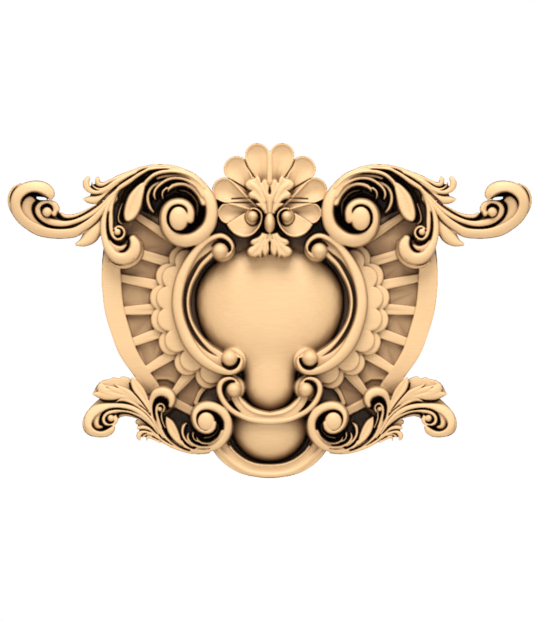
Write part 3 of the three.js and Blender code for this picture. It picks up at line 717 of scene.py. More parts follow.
         [172, 181.5, 1.2, 12], [178, 180.7, 1.1, 11], [184, 181.5, 0.9, 8], [191, 184, 0.6, 4],
         [197, 188, 0.5, 2]],
        # between the tips
        [[100.2, 180.5, 0.6, 3], [101, 183, 0.6, 3]],
        [[93.3, 183.5, 0.8, 7], [95.3, 185.7, 1, 8], [98.5, 187.2, 1.1, 8], [102.5, 187.2, 1, 8],
         [106.5, 185.2, 0.9, 7], [111, 182.2, 0.6, 5], [115.5, 179.6, 0.4, 3], [122, 176.3, 0.4, 2],
         [130, 172.8, 0.4, 2], [138, 169.8, 0.4, 1.5]],
        [[90.8, 181.5, 0.7, 7], [91.2, 184.5, 1, 8], [93.2, 187.5, 1, 8], [96.3, 189.8, 0.8, 6],
         [99.5, 190.3, 0.4, 3]],
        [[89, 194.3, 0.7, 7], [93.5, 195, 0.9, 8], [98.5, 194.6, 0.8, 7], [103, 192.8, 0.5, 4],
         [108, 190, 0.4, 2]],
        # in the hook
        [[20.5, 184.5, 0.5, 3], [15.3, 188.5, 0.7, 6], [12, 194, 0.8, 7], [10.6, 200, 0.8, 7],
         [10.8, 206, 0.7, 6], [12.3, 211.5, 0.4, 3]],
        [[49, 199, 0.8, 8], [46, 196.8, 1.6, 12], [42, 194.6, 2.2, 14], [37, 193.3, 2.4, 14],
         [32, 193.3, 2, 12], [27.5, 195.3, 1.4, 10], [24, 198.5, 1, 8], [21.8, 202.5, 0.7, 7],
         [21.5, 206.5, 0.6, 5], [23, 211, 0.5, 3], [26.5, 215.8, 0.4, 2.5], [31, 219.8, 0.4, 2],
         [34.5, 222, 0.4, 1]],
        [[37, 201, 1.5, 9], [34.3, 205, 1.4, 10], [33.3, 210, 1.3, 11], [34.8, 215, 1.4, 12],
         [38.5, 219.8, 1.6, 13], [43.5, 223.8, 1.7, 14], [50, 226.6, 1.5, 14], [57, 227.7, 1.2, 13],
         [64, 227.6, 0.9, 10], [71, 226.3, 0.6, 5], [78, 223.8, 0.4, 3], [86, 220, 0.4, 2.5],
         [94, 214.5, 0.4, 2.5], [101, 208.5, 0.4, 2.5], [107, 202, 0.4, 2.5], [113, 195.5, 0.4, 2]],
        [[51.7, 210.5, 0.8, 6], [52, 207.5, 1.2, 9], [50, 205.2, 1.4, 10], [46.8, 204.8, 1.4, 10],
         [43.8, 206.5, 1.3, 9], [42, 209.5, 1, 7], [42, 213, 0.8, 6], [44.3, 216.3, 0.7, 6],
         [48.5, 217.6, 0.7, 6], [53, 217.3, 0.8, 7]],
        [[58.3, 212, 1.2, 10], [58, 215.5, 2, 13], [61, 218.3, 1.9, 13], [66, 219.7, 1.5, 13],
         [73, 219, 1.3, 12], [80, 216.3, 1.2, 12], [87, 212.3, 1.1, 11], [93, 208.3, 1, 10],
         [98.5, 204.8, 0.8, 9], [103.5, 200.5, 0.7, 8], [108.5, 195.5, 0.6, 6], [113, 190.8, 0.5, 5]],
        [[80, 234.5, 0.8, 6], [84, 231.5, 0.8, 6], [90, 228, 0.8, 6], [97, 222.5, 0.8, 6],
         [102, 216.5, 0.8, 5.5], [104, 211.5, 0.7, 5], [106, 207, 0.6, 4], [109.5, 201, 0.5, 3.5],
         [114, 194.5, 0.5, 3]],
        # along the branch and round its curl
        [[109.8, 211, 0.5, 2], [108.2, 215.5, 1, 7], [107.4, 222, 1.2, 9], [107.5, 229, 1.3, 10],
         [109, 235.5, 1.5, 11], [112.3, 240.8, 1.8, 11], [116.5, 243.5, 1.8, 11], [121, 243.8, 1.6, 10],
         [125, 241.5, 1.8, 12], [127.5, 238, 2, 12]],
        [[112, 247.5, 0.4, 2], [116, 251, 0.6, 4], [120, 252.4, 0.8, 7], [124, 251.3, 1.2, 9],
         [127.2, 248.5, 1.6, 11], [129, 244.5, 1.7, 12], [129.2, 240.5, 1.5, 12], [128.6, 237.5, 1.2, 10]],
        evenly(0.7, 5, (111.5, 261.5), (116, 264), (122, 264.8), (128, 263.8), (133, 260.5),
               (134.5, 258.5)),
        evenly(0.9, 7, (117.5, 228), (121, 229), (123, 232.5), (121.5, 236), (117.5, 237.5)),
    ],
}


def layScroll(scroll):
    for backing in scroll["backings"]:
        layPlate(backing["edge"], backing["rise"], bevel=0.8)
    for stations in scroll["strands"]:
        layStrand(stations)
    for stations in scroll["pods"]:
        layStrand(stations, fall=0.5, dish=0.35)
    for band in scroll["leaning"]:
        layStrand(band["stations"], band["crest"], band["fall"])
    for stations in scroll["creases"]:
        cutLine(stations)
    for eye in scroll["eyes"]:
        layDome(*eye, fullness=0.3, foot=0.75)


# The lower scroll, of the same kind, with a spray of leaves over its hook

lowerScroll = {
    # broad bands whose crest lies nearer one edge
    "leaning": [
        {"crest": 0.25, "fall": 1.1, "stations": [
            [196, 449.5, 1.6, 17], [205, 450.3, 2, 18], [213, 448, 2.8, 19.5], [220, 443.3, 3.6, 21.5],
            [225.3, 436.5, 4.1, 23], [228, 428.5, 4.2, 24], [227.5, 420, 4.3, 25], [223.5, 413, 4.4, 26],
            [217, 408.2, 4.4, 26.5], [209, 406, 4.3, 27], [201.8, 407.3, 4, 27], [196.8, 411.5, 3.4, 27.5],
            [194.9, 417, 2.7, 28], [195.8, 422.7, 2.3, 28.5], [199, 428, 2, 29], [204, 431.2, 1.6, 29],
            [209.3, 431.3, 1.8, 29], [213.3, 428, 2.2, 29], [214.8, 423.3, 2.2, 29],
        ]},
        {"crest": 0.6, "fall": 1.2, "stations": [
            [159, 434.5, 0.8, 15], [155, 428, 1.3, 15.5], [150.5, 420.5, 2, 16], [145, 414.8, 2.6, 16.5],
            [138, 410.3, 2.8, 17], [130, 407.2, 2.6, 17.5], [121, 405.8, 2.5, 18], [112, 406, 2.9, 18.5],
            [104, 407.5, 4.3, 19.5], [97, 410, 5.3, 21], [91.8, 414.3, 5.4, 22.5], [88.5, 420, 4.9, 24],
            [87.8, 425.3, 4.6, 25], [90, 430, 4.3, 25.5], [95, 433.2, 3.5, 25.5], [101.5, 434.3, 3.1, 25.5],
            [107.5, 433, 3.5, 25], [111.8, 429.8, 3.2, 24.5], [113.8, 426.8, 1.6, 23],
        ]},
        {"crest": -0.2, "fall": 0.9, "stations": [
            [163, 437.5, 0.9, 14], [158.5, 430.5, 1.1, 14.5], [154.5, 422.5, 1.2, 15],
            [152, 413.5, 1.3, 15.5], [151.2, 405.5, 1.8, 17], [152.6, 398.5, 2.6, 19],
            [156, 393.5, 3.7, 21.5], [161.3, 391.6, 4.2, 23], [166.8, 392.6, 4.6, 24],
            [170.9, 396.3, 4.2, 24.5], [172.1, 401, 3.2, 24], [171, 404.8, 2.1, 23],
        ]},
        {"crest": 0.2, "fall": 0.8, "stations": [
            [101, 413.5, 1.2, 18], [97.5, 417.5, 2.8, 19], [96, 422.5, 3.2, 20], [97.5, 427, 3, 20],
            [101.5, 427.5, 1.8, 19],
        ]},
    ],
    "strands": [
        # the cup
        [[186.5, 423.5, 0.6, 12], [184, 426, 1.4, 13], [182.8, 430, 1.5, 13], [183, 434.5, 1.4, 13],
         [185, 439, 1.3, 13], [188.5, 443, 1.2, 13.5], [193, 446, 1.1, 14]],
        [[188.8, 433.5, 0.5, 14], [188, 436.5, 0.9, 14.5], [188.8, 439.5, 1, 15], [191.5, 443, 1.1, 15],
         [195, 445.3, 1.2, 15.5], [200, 446.8, 1.2, 16], [206, 447.2, 1.3, 17], [212, 446, 1.4, 18],
         [217, 443.5, 1.6, 19.5], [221, 440, 1.8, 21]],
        evenly(0.8, 13.5, (193.6, 433), (193.3, 436.5), (195, 439.8), (198, 441.5)),
        [[197, 437, 0.5, 13.5], [198.5, 440.3, 1.1, 14], [202, 442.8, 1.3, 14.5], [207, 443.7, 1.4, 15],
         [212, 443, 1.5, 16], [217, 440.3, 1.7, 18], [220.5, 436.5, 1.8, 20], [223, 431.5, 2, 21.5]],
        [[182, 441.5, 1, 15], [184, 445, 1.2, 15.5], [188, 448, 1.3, 16], [194, 450.3, 1.3, 16],
         [201, 451.3, 1.3, 16.5], [208, 450.7, 1.4, 17], [214, 448.7, 1.5, 18], [219, 445.5, 1.8, 20],
         [224, 441, 2, 22]],
        [[163, 441.5, 1.4, 12], [170, 445.5, 1.4, 12], [178, 448.8, 1.4, 13], [186, 451.3, 1.4, 13.5],
         [194, 452.8, 1.3, 14], [202, 453, 1.2, 14], [209, 452.3, 1.1, 14]],
        evenly(1, 10, (216, 420), (218.3, 424), (218.5, 428.5), (216, 433), (211.5, 436.5), (205, 437.8)),
        # the branch under it
        [[157, 391, 3, -3], [158.5, 384.5, 4.5, -3], [165, 381.8, 4.5, -3], [171.5, 384.5, 4.8, -3],
         [175.3, 390.5, 4, -3], [176.5, 397, 3, -3]],
        [[166.5, 436, 1, 12], [161.5, 428.5, 1.6, 12.5], [158.3, 420, 1.7, 13], [156.7, 412, 1.5, 14],
         [157.2, 406.5, 1.4, 15], [160, 403.6, 1.3, 15.5], [163.3, 404.5, 1.2, 15.5],
         [164.8, 407.8, 1, 15.5], [163.6, 411, 0.9, 15.5]],
        [[161.8, 412, 0.8, 12], [161.7, 416.5, 0.9, 12], [162.8, 421.5, 0.9, 11.5],
         [165.3, 427.5, 0.8, 11]],
        # the hook
        [[84.3, 419, 0.8, 18], [83.7, 424, 1, 18], [85.3, 430, 1.2, 18], [89, 433.8, 1.1, 18],
         [93, 435.8, 0.8, 18]],
        [[152, 424.8, 1.2, 15], [146, 419.8, 1.3, 15.5], [139, 415.6, 1.3, 16], [131, 412.3, 1.2, 16.5],
         [123, 410.9, 1.1, 17], [115.5, 411.2, 1.8, 17.5], [109, 412.8, 2, 18], [104.8, 416, 1.9, 18.5],
         [103.6, 420.3, 1.8, 19], [105.6, 423.8, 1.6, 19.5], [109.8, 425.2, 1.3, 20],
         [113.8, 423.8, 1.8, 20], [116.3, 420.3, 2.2, 19.5], [115.8, 416.8, 1.6, 19]],
        # tips under the branch
        [[146, 423.5, 1, 10], [142, 421.8, 2.4, 10.5], [138.5, 421.8, 2.8, 10.5]],
        [[160, 437.5, 0.9, 13], [154.5, 432, 1.3, 13.5], [149, 428.5, 1.6, 14], [143.5, 427.3, 1.9, 14],
         [138.8, 428, 1.6, 14]],
        [[163, 441, 0.9, 12.5], [156, 436, 1.3, 13], [149.5, 432.7, 1.3, 13.5], [143.5, 431.8, 1.6, 13.5],
         [139.8, 434, 2.6, 14], [139, 437.3, 2.2, 14], [140, 439.9, 0.8, 13.5]],
        [[143, 436.8, 0.8, 12.5], [144.5, 435.3, 1, 12.5], [147.5, 434.6, 0.8, 13], [152, 435.5, 1, 13]],
        [[147.3, 440.3, 0.5, 12], [147.3, 437.5, 1, 12.5], [150, 437.3, 1.2, 12.5], [155, 439.3, 1.1, 12.5],
         [160, 442, 1, 12.5]],
        # the spray
        [[150, 411.5, 1, 16], [143, 403, 2, 17], [136, 396.8, 2.4, 17.5], [128, 391.5, 2.4, 18],
         [121, 388, 2, 18], [116.2, 385.2, 0.7, 17.5]],
        [[146, 408, 1, 16], [137, 399.5, 2.6, 17], [127, 393.8, 3.2, 17.5], [117, 390.3, 3.2, 18],
         [110, 388, 2.2, 18], [106, 386, 0.8, 17.5]],
        [[140, 404, 1, 16], [131, 398.3, 2.4, 17], [121, 395.8, 3.4, 17.5], [111, 393.5, 5, 18],
         [103.5, 390, 5.5, 18], [101.5, 387, 3.8, 17.5]],
        [[135, 400.8, 1, 16], [125, 397.2, 1.8, 16.5], [114, 396.5, 3.6, 17.5], [104, 395.3, 4.4, 17.5],
         [97, 394.3, 2.4, 17], [93, 394.2, 0.5, 16.5]],
        [[117.3, 401.2, 0.7, 16], [120.5, 399.9, 1.1, 16.5], [126, 400.3, 1.3, 16.5],
         [132, 402.8, 1.4, 16.5], [139, 406.8, 1.4, 16], [145.5, 411.8, 1.3, 16], [150.5, 417.5, 1.1, 15.5],
         [154.5, 424, 1, 15]],
    ],
    "pods": [
        [[167, 417.5, 0.8, 15], [170, 423.5, 3.8, 16], [172.8, 430, 4.7, 16.5], [176.3, 436.5, 3.8, 16],
         [180, 442, 1.8, 15.5], [182, 444.5, 0.5, 15]],
        [[132.5, 377.5, 0.8, 16], [134.5, 382.5, 3.4, 17], [137.5, 388, 5, 17.5], [141, 393.5, 5.2, 17.5],
         [144.5, 399.5, 4.2, 17], [147.8, 406, 2.4, 16.5], [149.7, 412, 0.8, 16]],
    ],
    "sprayRise": 11,
    "spray": [
        (92.7, 394.2), (94.2, 391.3), (95.6, 388.3), (97.4, 385.3), (99.6, 382.6), (102.3, 380.8),
        (105.7, 379.7), (109, 379.2), (110.8, 378.7), (112.3, 377.7), (115, 377.4), (118, 378.2),
        (119.8, 378.6), (121, 377), (123.2, 376.2), (125.7, 376.7), (128.7, 377.7), (131.2, 379.3),
        (131, 384), (133, 390), (138, 395.5), (144, 402), (150, 411), (152, 419), (149, 414.5), (143, 409),
        (136, 404), (129, 400.3), (123, 398.5), (118.5, 399), (115, 400.1), (110.5, 400.6), (105.5, 400.3),
        (101.5, 399), (98.5, 397.2), (95.3, 395.6),
    ],
    "backings": [
        {"rise": -6, "edge": [
            (148, 412), (155, 396), (170, 385), (200, 395), (225, 410), (230, 430), (220, 447), (205, 451),
            (190, 450.5), (175, 446), (163, 440), (152, 428), (140, 420),
        ]},
        {"rise": 12, "edge": [
            (85, 424), (88, 431), (97, 434), (108, 431.5), (113.5, 426), (118, 419.5), (121, 417),
            (126, 416), (132, 417), (141, 420), (150, 425.5), (160, 435), (170, 443.5), (178, 447.5),
            (187, 450.7), (190, 448), (178, 444), (168, 437), (160, 427), (154, 417), (152, 405),
            (154, 396), (148, 396), (140, 392), (131, 390), (115, 396), (100, 398.5), (96, 402), (90, 408),
            (86, 415),
        ]},
        {"rise": 9.5, "edge": [
            (139, 421), (147, 422), (152, 427), (160, 435), (169, 443), (167, 444.6), (160, 441.4),
            (154, 439.3), (148, 438), (143, 436), (140, 438), (138.5, 434), (140, 429), (138, 426),
        ]},
    ],
    "eyes": [[206.3, 421.4, 8.6, 9.3, 31.5], [111.2, 418.4, 3.5, 3.5, 22], [160.3, 408.8, 2.4, 2.4, 17]],
    "creases": [
        # round the volute's eye and along its inner side
        [[209.2, 424.3, 0.5, 3], [210.4, 426.5, 0.6, 5], [209.6, 428.8, 0.7, 6], [207, 430.2, 0.7, 6],
         [203.7, 430, 0.7, 6], [200.3, 427.7, 0.8, 7], [198, 424, 0.9, 8], [197.3, 419.5, 1, 9],
         [198.1, 415.3, 1.1, 10], [200.5, 412.4, 1.2, 11], [204, 411, 1.3, 12], [208.3, 411.2, 1.5, 13],
         [212.3, 413.2, 1.8, 14], [215.5, 416.5, 2, 14], [217, 421, 1.6, 13], [217, 426, 1.3, 12],
         [215.5, 430.5, 1.5, 12], [211.5, 434, 1.8, 12], [205.5, 435, 2, 12], [199.5, 433, 2, 11],
         [195.5, 429.5, 1.8, 10]],
        evenly(0.7, 8, (199, 444.8), (203, 445.2), (208, 445.3)),
        evenly(0.6, 7, (188, 446), (192, 448.2), (196, 448.9), (204, 449.2), (210, 448.8)),
        evenly(1, 9, (163, 428), (166, 434), (171, 440), (177, 444.5), (183, 447.8), (190, 450)),
        # the branch
        [[156.5, 388, 0.4, 3], [160, 386.9, 0.6, 5], [164, 386.7, 0.7, 5], [168, 388, 0.6, 5],
         [171, 390, 0.4, 3]],
        [[154.5, 419.5, 0.4, 3], [153.9, 414, 0.7, 6], [153.8, 408.5, 0.8, 8], [154.8, 403.8, 0.9, 9],
         [157.2, 400.6, 1, 9], [161, 399.4, 1, 8], [165, 400.8, 1.2, 9], [167.3, 404, 1.3, 11],
         [168, 408, 1.5, 12]],
        [[155.3, 399.3, 0.4, 2], [158, 397, 0.4, 2.5], [161.5, 396.1, 0.4, 3], [165, 396.7, 0.6, 5],
         [167.8, 398.9, 1, 8], [168.8, 402.2, 1.1, 9], [168.5, 405.3, 0.9, 8]],
        [[130.3, 383.5, 0.8, 8], [131, 388, 1, 9], [133.3, 391.8, 1, 9], [137.3, 396.3, 1, 10],
         [141.3, 401, 1, 10], [145.3, 406.3, 0.9, 9], [149, 411.5, 0.6, 6]],
        evenly(0.5, 1.5, (137, 382), (141, 388), (144, 394), (146, 400)),
        # the hook
        [[85.2, 417.5, 0.4, 3], [84.4, 421.5, 0.6, 5], [84.5, 425.5, 0.7, 6], [86, 429.5, 0.7, 6],
         [88.5, 432.8, 0.6, 5], [91.8, 434.9, 0.4, 3]],
        [[100.5, 412.7, 0.4, 2], [97, 415.5, 0.4, 2.5], [94.3, 419.3, 0.4, 2.5], [92.8, 423, 0.5, 3],
         [93, 426.3, 0.8, 6], [95.3, 429, 1.1, 8], [98.5, 430.4, 1.3, 10], [102.5, 430, 1.9, 13],
         [106.5, 428.3, 2.2, 14], [110.5, 426.8, 1.4, 10], [113.5, 425.8, 0.6, 5]],
        [[102.5, 425, 1.2, 9], [101, 421, 1.4, 10], [101.3, 416.5, 1.4, 10], [103.7, 412.5, 1.2, 10],
         [107.5, 410, 1.1, 10], [112.5, 408.8, 1.1, 10], [118.5, 408.6, 1.1, 10], [124.5, 409.2, 0.8, 7],
         [130, 410.4, 0.5, 4], [136, 413, 0.4, 2.5], [143, 417.3, 0.4, 2], [149, 422.7, 0.4, 2]],
        [[113.7, 420, 0.6, 4], [113.8, 421.8, 0.9, 6], [111.5, 422.8, 1, 7], [109, 422.2, 0.9, 6],
         [107.3, 420.3, 0.7, 5], [106.9, 417.8, 0.6, 4], [108.3, 415.4, 0.5, 4], [111, 414.4, 0.5, 4],
         [114.5, 414.2, 0.8, 7]],
        [[118, 417, 1.2, 10], [117.8, 414.5, 1.5, 11], [120.5, 413, 1.2, 10], [125, 412.7, 1.1, 10],
         [130, 413.6, 1, 10], [135, 415.5, 1, 10], [140, 418, 1, 10], [145, 421.7, 1.1, 10],
         [149.5, 425.6, 1, 9], [154, 430, 0.9, 9], [158.5, 434.3, 0.9, 8], [163.5, 438.3, 0.8, 7],
         [168.5, 442.2, 0.7, 5], [173.5, 445.3, 0.5, 3]],
        # the spray
        [[106, 391.8, 0.4, 0.8], [112, 392.2, 0.5, 1.5], [118, 393.6, 0.5, 1.5], [125, 396, 0.4, 1.2],
         [132, 399, 0.4, 1]],
        [[105.8, 386.2, 0.5, 3], [107.5, 387.5, 0.7, 5], [109.2, 388.5, 0.4, 3]],
        [[115.7, 385.8, 0.5, 3], [117, 387.2, 0.7, 5], [118.5, 388.1, 0.4, 3]],
        [[99.5, 398.3, 0.6, 4], [103, 400.4, 1, 8], [108, 401.3, 1.1, 9], [113, 401, 1.1, 9],
         [116.8, 400, 0.9, 7], [120.3, 398.4, 0.5, 3], [125, 397.9, 0.4, 1.5], [130.5, 399.4, 0.4, 2],
         [136.5, 402.6, 0.4, 2], [143, 407.5, 0.4, 2], [149, 413.5, 0.4, 2]],
        [[119, 402.6, 0.7, 3], [124.5, 402.6, 0.9, 5], [129.5, 403.6, 0.9, 6], [135, 406, 0.8, 5],
         [141, 409.8, 0.6, 4], [146.5, 414.3, 0.6, 5], [150.8, 419.2, 0.6, 5], [154.3, 425, 0.5, 4],
         [157.8, 431, 0.6, 5], [160.5, 434.8, 0.6, 5]],
        # the tips
        [[138.3, 429.8, 0.4, 3], [143, 429.7, 0.5, 4], [148, 430.8, 0.5, 4], [152.5, 433.6, 0.4, 2]],
        [[141.5, 437, 0.7, 6], [142.6, 434.8, 0.7, 6], [144.8, 433.6, 0.6, 5], [147.5, 433.8, 0.4, 3]],
        [[146.2, 436.5, 0.6, 5], [147, 435.2, 0.7, 5], [150, 435.2, 0.6, 5], [154, 437, 0.5, 4],
         [158.5, 440.3, 0.4, 3]],
    ],
}

layScroll(upperScroll)
layPlate(lowerScroll["spray"], lowerScroll["sprayRise"])
layScroll(lowerScroll)
print("scrolls laid")


# Sanding, and how open each place lies: the share of the sky that it sees over the wood around it, which
# sets the painted shade

lookout = {
    "directions": 16,
    "reaches": (1, 2, 3.2, 5, 8, 12, 18, 28),   # mm away at which the wood around is read
    "steepest": 3,           # slopes past this count as this
    "steepSideShade": 0.2,        # how much more painted shade a steep side gets
}


def sand(heights, passes):
    solid = heights > 0
    for _ in range(passes):
        total = np.zeros(heights.shape)
        weight = np.zeros(heights.shape)
        for rowShift, columnShift, share in ((0, 0, 4), (1, 0, 1), (-1, 0, 1), (0, 1, 1), (0, -1, 1)):
            moved = np.roll(heights, (rowShift, columnShift), (0, 1))
            there = np.roll(solid, (rowShift, columnShift), (0, 1)) * share
            total += np.where(solid, moved * there, 0)
            weight += there
        heights = np.where(solid, total / np.maximum(weight, 1), heights)
    return heights


def seenSky(heights):
    step = panel["step"]
    pad = int((lookout["reaches"][-1] + 2) / step)
    base = np.pad(np.maximum(heights, 0), pad, mode="edge")
    base[:pad] = 0
    base[-pad:] = 0
    rows, columns = heights.shape
    here = base[pad:pad + rows, pad:pad + columns]
    sky = np.zeros(heights.shape)
    for k in range(lookout["directions"]):
        turn = 2 * math.pi * (k + 0.5) / lookout["directions"]
        steepest = np.zeros(heights.shape)
        for reach in lookout["reaches"]:
            firstRow = pad + int(round(math.sin(turn) * reach / step))
            firstColumn = pad + int(round(math.cos(turn) * reach / step))
            there = base[firstRow:firstRow + rows, firstColumn:firstColumn + columns]
            steepest = np.maximum(steepest, (there - here) / reach)
        sky += 1 - steepest / np.sqrt(1 + steepest * steepest)   # what shows over the wood that way
    slopeUp, slopeOut = np.gradient(heights, step)
    level = 1 / np.sqrt(1 + np.minimum(slopeUp ** 2 + slopeOut ** 2, lookout["steepest"] ** 2))
    # painted shade: steep sides count as less open, so they take more of the dark colour
    return sky / lookout["directions"] * (1 - lookout["steepSideShade"] * (1 - level))


# From the map to one closed mesh

trueEdge = {
    "passes": 3,             # moves of the ragged rim onto the true edge
    "longestMove": 0.7,      # of a step
    "flattest": 0.3,         # gradients under this count as this
    "outermost": -6,         # mm outside past which nothing falls away
    "readInside": 0.8,       # mm inside the edge at which the rim's height is read
    "lowest": 0.8,           # share of the ground's height that the rim keeps
}


def mirrorMap(half):
    return np.hstack([half[:, :0:-1], half])


def sample(heights, x, y):
    column = np.clip((x + panel["halfWidth"]) / panel["step"], 0, heights.shape[1] - 1.001)
    row = np.clip((y + panel["halfHeight"]) / panel["step"], 0, heights.shape[0] - 1.001)
    c, r = column.astype(int), row.astype(int)
    fc, fr = column - c, row - r
    low = heights[r, c] * (1 - fc) + heights[r, c + 1] * fc
    high = heights[r + 1, c] * (1 - fc) + heights[r + 1, c + 1] * fc
    return low * (1 - fr) + high * fr


def filledCells(covered):
    keep = covered > -0.5 * panel["step"]
    cells = keep[:-1, :-1] & keep[1:, :-1] & keep[:-1, 1:] & keep[1:, 1:]
    for _ in range(6):                     # no two cells meet at a corner alone
        a, b = cells[:-1, :-1], cells[:-1, 1:]
        c, d = cells[1:, :-1], cells[1:, 1:]
        one, other = a & d & ~b & ~c, b & c & ~a & ~d
        if not (one.any() or other.any()):
            break
        cells[1:, 1:] &= ~one
        cells[1:, :-1] &= ~other
    return cells


def readArray(collection, key, width, kind=np.float32):
    values = np.empty(len(collection) * width, kind)
    collection.foreach_get(key, values)
    return values.reshape(-1, width) if width > 1 else values


def carvePanel():
    heights = mirrorMap(relief)
    covered = mirrorMap(cover)
    cells = filledCells(covered)
    rows, columns = heights.shape
    bpy.ops.object.select_all(action="DESELECT")
    bpy.ops.mesh.primitive_grid_add(x_subdivisions=columns - 1, y_subdivisions=rows - 1, size=2)
    piece = bpy.context.object
    mesh = piece.data

    # drop the cells outside the panel's edge
    corners = readArray(mesh.vertices, "co", 3)
    column = np.rint((corners[:, 0] + 1) * 0.5 * (columns - 1)).astype(int)
    row = np.rint((corners[:, 1] + 1) * 0.5 * (rows - 1)).astype(int)
    loops = readArray(mesh.loops, "vertex_index", 1, np.int32).reshape(-1, 4)
    outside = ~cells[row[loops].min(axis=1), column[loops].min(axis=1)]
    mesh.vertices.foreach_set("select", np.zeros(len(corners), bool))
    mesh.edges.foreach_set("select", np.zeros(len(mesh.edges), bool))
    mesh.polygons.foreach_set("select", outside)
    corners = np.column_stack([column * panel["step"] - panel["halfWidth"],
                               row * panel["step"] - panel["halfHeight"], heights[row, column]])
    mesh.vertices.foreach_set("co", corners.astype(np.float32).ravel())
    bpy.ops.object.mode_set(mode="EDIT")
    bpy.ops.mesh.select_mode(type="FACE")
    bpy.ops.mesh.delete(type="FACE")
    bpy.ops.object.mode_set(mode="OBJECT")

    # pull the ragged rim onto the true edge
    corners = readArray(mesh.vertices, "co", 3).astype(float)
    loopEdges = readArray(mesh.loops, "edge_index", 1, np.int32)
    uses = np.bincount(loopEdges, minlength=len(mesh.edges))
    ends = readArray(mesh.edges, "vertices", 2, np.int32)
    rim = np.unique(ends[uses == 1])
    slopeUp, slopeOut = np.gradient(np.maximum(covered, trueEdge["outermost"]), panel["step"])
    x, y = corners[rim, 0], corners[rim, 1]
    longest = trueEdge["longestMove"] * panel["step"]
    for _ in range(trueEdge["passes"]):
        depth = sample(covered, x, y)
        gradient = np.column_stack([sample(slopeOut, x, y), sample(slopeUp, x, y)])
        length = np.maximum(np.hypot(*gradient.T), trueEdge["flattest"])
        move = np.clip(depth / length, -longest, longest)
        x = x - move * gradient[:, 0] / length
        y = y - move * gradient[:, 1] / length
    inward = np.column_stack([sample(slopeOut, x, y), sample(slopeUp, x, y)])
    length = np.maximum(np.hypot(*inward.T), trueEdge["flattest"])
    inward = inward / length[:, None] * trueEdge["readInside"]
    height = sample(heights, x + inward[:, 0], y + inward[:, 1])
    corners[rim] = np.column_stack([x, y, np.maximum(height, panel["ground"] * trueEdge["lowest"])])
    mesh.vertices.foreach_set("co", corners.astype(np.float32).ravel())

    # take the whole sheet back to the wall, which leaves a flat back and straight sides
    bpy.ops.object.mode_set(mode="EDIT")
    bpy.ops.mesh.select_all(action="SELECT")
    bpy.ops.mesh.extrude_region_move()
    bpy.ops.transform.resize(value=(1, 1, 0), center_override=(0, 0, 0))
    bpy.ops.mesh.select_all(action="SELECT")
    bpy.ops.mesh.normals_make_consistent(inside=False)
    bpy.ops.mesh.select_all(action="DESELECT")
    bpy.ops.object.mode_set(mode="OBJECT")
    print("relief closed:", len(mesh.polygons), "faces")
    return piece


# Fewer triangles where the wood is even

def thin(piece):
    triangles = sum(len(face.vertices) - 2 for face in piece.data.polygons)
    if triangles > panel["triangles"]:
        decimate = piece.modifiers.new("thin", "DECIMATE")
        decimate.ratio = panel["triangles"] / triangles
        bpy.ops.object.modifier_apply(modifier="thin")


# Each point keeps how open it lies, for the painted shade in the hollows; the back takes none

def markHollows(piece, sky):
    corners = readArray(piece.data.vertices, "co", 3)
    openness = sample(mirrorMap(sky), corners[:, 0], corners[:, 1])
    openness = np.where(corners[:, 2] < 1, 1, openness)   # within 1 mm of the wall
    attribute = piece.data.attributes.new("openness", "FLOAT", "POINT")
    attribute.data.foreach_set("value", openness.astype(np.float32))


# Stands the panel upright, with its face to the front and its back flat on the wall

def standUp(piece):
    corners = readArray(piece.data.vertices, "co", 3)
    corners[:, 2] = np.where(corners[:, 2] < 0.3, 0, corners[:, 2])   # truly flat
    corners = np.column_stack([corners[:, 0], -corners[:, 2], corners[:, 1]]) * mm
    piece.data.vertices.foreach_set("co", corners.astype(np.float32).ravel())
    piece.data.update()


relief = sand(np.where(cover > -1, np.maximum(relief, panel["thinnest"]), noWood), panel["softening"])
sky = seenSky(relief)
cartouche = carvePanel()
cartouche.name = "carvedCartouche"
cartouche.data.name = "carvedCartouche"
thin(cartouche)
markHollows(cartouche, sky)
standUp(cartouche)
bpy.ops.object.shade_smooth_by_angle(angle=math.radians(panel["smoothUnder"]))
print("panel carved:", len(cartouche.data.polygons), "faces")


# The wood

wood = {
    "base": "#C09D72",       # pale sanded hardwood
    "light": "#C7A67C",      # its early wood
    "paintedDeepShade": "#1E0F06",      # painted shade, near black, in the deepest hollows
    "paintedSoftShade": "#6B4A2C",       # painted shade, brown, in the shallower hollows and beside tall forms
    "softShadeFrom": 0.7,         # openness at which the brown painted shade begins, and at which it is full
    "softShadeFull": 0.27,
    "softShadeShare": 0.9,
    "deepShadeFrom": 0.36,       # the same for the near-black painted shade
    "deepShadeFull": 0.12,
    "deepShadeShare": 0.95,
    "grainWidth": 1.1,       # mm across the fibres, drawn coarser than limewood's so that they show
    "grainLength": 28,       # mm along them
    "grainDepth": 0.15,      # mm
    "grainStrength": 0.04,
    "patches": 14.0,         # patches of tone to the metre
    "roughness": 0.56,
    "specular": 0.35,
}


def linear(hexColour):
    channels = [int(hexColour[i:i + 2], 16) / 255 for i in (1, 3, 5)]
    return [c / 12.92 if c <= 0.04045 else ((c + 0.055) / 1.055) ** 2.4 for c in channels] + [1]


def addNode(tree, kind, settings=None, **inputs):
    node = tree.nodes.new(kind)
    for key, value in (settings or {}).items():
        setattr(node, key, value)
    for key, value in inputs.items():
        socket = node.inputs[int(key[1:])] if key[1:].isdigit() else node.inputs[key.replace("_", " ")]
        if isinstance(value, bpy.types.NodeSocket):
            tree.links.new(value, socket)
        else:
            socket.default_value = value
    return node


